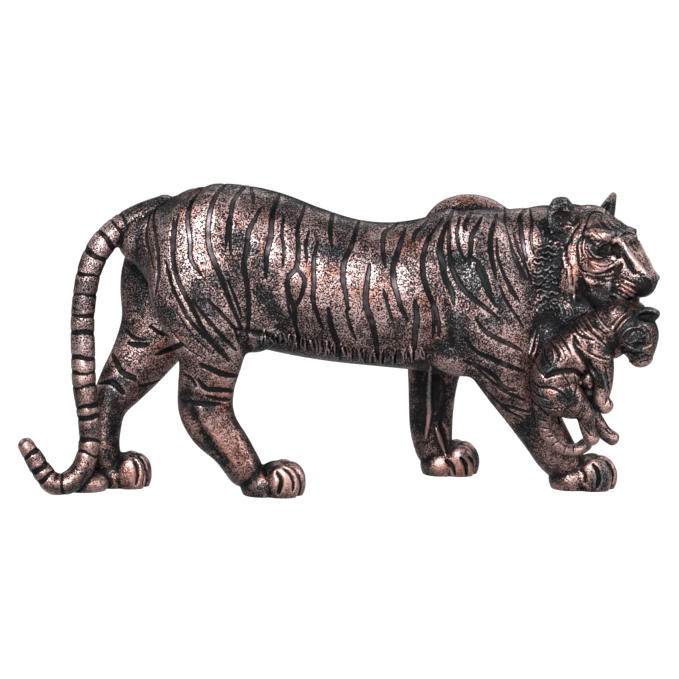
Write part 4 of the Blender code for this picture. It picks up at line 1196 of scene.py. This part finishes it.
CUB_TONES = [
    (-1.4, 7.5, "636,316 646,316 656,316"),
    (-1.0, 5.0, "637,345 643,345"),
    (-0.9, 6.0, "628,352 636,355 644,355"),
    (-0.5, 14.0, "630,330 640,342"),
    (-0.6, 9.0, "544,360 552,372"),
    (-0.7, 7.0, "596,372 602,386"),
    (-0.6, 8.0, "560,395 575,400"),
    (-0.8, 6.0, "589,400 599,410"),
    (-0.7, 6.0, "612,346 606,352"),
    (0.3, 8.0, "613,326 622,318"),
    (0.3, 10.0, "560,385 552,392"),
    (0.3, 9.0, "575,350 585,365"),
    (0.3, 6.0, "643,349 650,346"),
]
give(cub, "stripe", np.full(len(cub_skin.points), UNSTRIPED))
give(cub, "hollow", hollows(cub))
give(cub, "rub_and_painted_light", rub_and_painted_light_from(cub_skin, CUB_TONES))
give(cub, "worn", np.full(len(cub_skin.points), CUB_WEAR))
cub.data.materials.append(copper_paint)

# The casting is one piece in resin: tigress and cub together are brought to metres, no larger than
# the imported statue, and set where it stands, with the camera in front.
carvings = [read_all(piece.data.vertices, "co", 3) for piece in (tigress, cub)]
low = Vector(np.min([points.min(0) for points in carvings], 0))
high = Vector(np.max([points.max(0) for points in carvings], 0))
fit = min(1.0, *((cad_high[k] - cad_low[k]) / (high[k] - low[k]) / MM for k in range(3)))
cad_middle = (cad_low + cad_high) / 2
middle = (low + high) / 2
stand = Matrix.Translation((cad_middle.x, cad_middle.y, 0)) @ Matrix.Scale(MM * fit, 4)
stand = stand @ Matrix.Translation((-middle.x, -middle.y, 0))
camera.location = stand @ aim + toward_camera * CAMERA_DISTANCE * MM
for piece in (tigress, cub):
    piece.data.transform(stand)
    piece.data.shade_smooth()
    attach(piece, "root")
    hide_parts("tigress_and_cub")

# The studio: a plain white floor that keeps a faint shadow, a large and a tall soft lamp on the
# camera's side, three behind, and a dim room that only the camera sees as white paper.
SHADOW_SHARE = 0.16
ROOM_LIGHT = 0.05
FLOOR_WIDTH = 60.0
FLOOR_GREY = 0.45
PAPER_GLOW = 1.2
LAMPS_AIM_AT = 0.12
bpy.ops.object.select_all(action="DESELECT")
bpy.ops.mesh.primitive_plane_add(size=FLOOR_WIDTH, location=(0, 0, 0))
floor = bpy.context.object
floor.name = "floor"
paper = Shader(bpy.data.materials.new("white_floor"))
grey = {"Base Color": (FLOOR_GREY, FLOOR_GREY, FLOOR_GREY, 1), "Roughness": 0.9}
matt = paper.feed(paper.tree.nodes["Principled BSDF"], grey)
white = paper.node("ShaderNodeEmission", {}, {"Color": (1, 1, 1, 1), "Strength": PAPER_GLOW})
share = paper.seen_by_camera() * (1 - SHADOW_SHARE)
blend = paper.node("ShaderNodeMixShader", {}, {0: share, 1: matt.outputs[0], 2: white.outputs[0]})
paper.feed(paper.tree.nodes["Material Output"], {0: blend.outputs[0]})
floor.data.materials.append(paper.owner)


def lamp(name, azimuth, elevation, distance, width, height, watts):
    """A soft lamp that faces the statue, from degrees right of the camera and above the floor."""
    light = bpy.data.lights.new(name, "AREA")
    light.shape = "RECTANGLE"
    light.size = width
    light.size_y = height
    light.energy = watts
    holder = bpy.data.objects.new(name, light)
    bpy.context.scene.collection.objects.link(holder)
    a, e = math.radians(azimuth), math.radians(elevation)
    out = Vector((math.sin(a) * math.cos(e), -math.cos(a) * math.cos(e), math.sin(e)))
    holder.location = Vector((0, 0, LAMPS_AIM_AT)) + out * distance
    holder.rotation_euler = (-out).to_track_quat("-Z", "Y").to_euler()


lamp("key", -14, 27, 1.5, 0.85, 0.6, 64)
lamp("fill", 60, 20, 1.6, 0.5, 1.0, 23)
lamp("rim", 170, 50, 1.8, 1.0, 0.5, 9)
lamp("far front", 128, 32, 1.8, 1.0, 0.8, 9)
lamp("far back", 240, 32, 1.8, 1.0, 0.8, 9)
room = Shader(bpy.data.worlds.new("studio"))
strength = room.seen_by_camera() * (1 - ROOM_LIGHT) + ROOM_LIGHT
room.feed(room.tree.nodes["Background"], {"Color": (1, 1, 1, 1), "Strength": strength})
bpy.context.scene.world = room.owner
bpy.context.scene.view_settings.view_transform = "Standard"
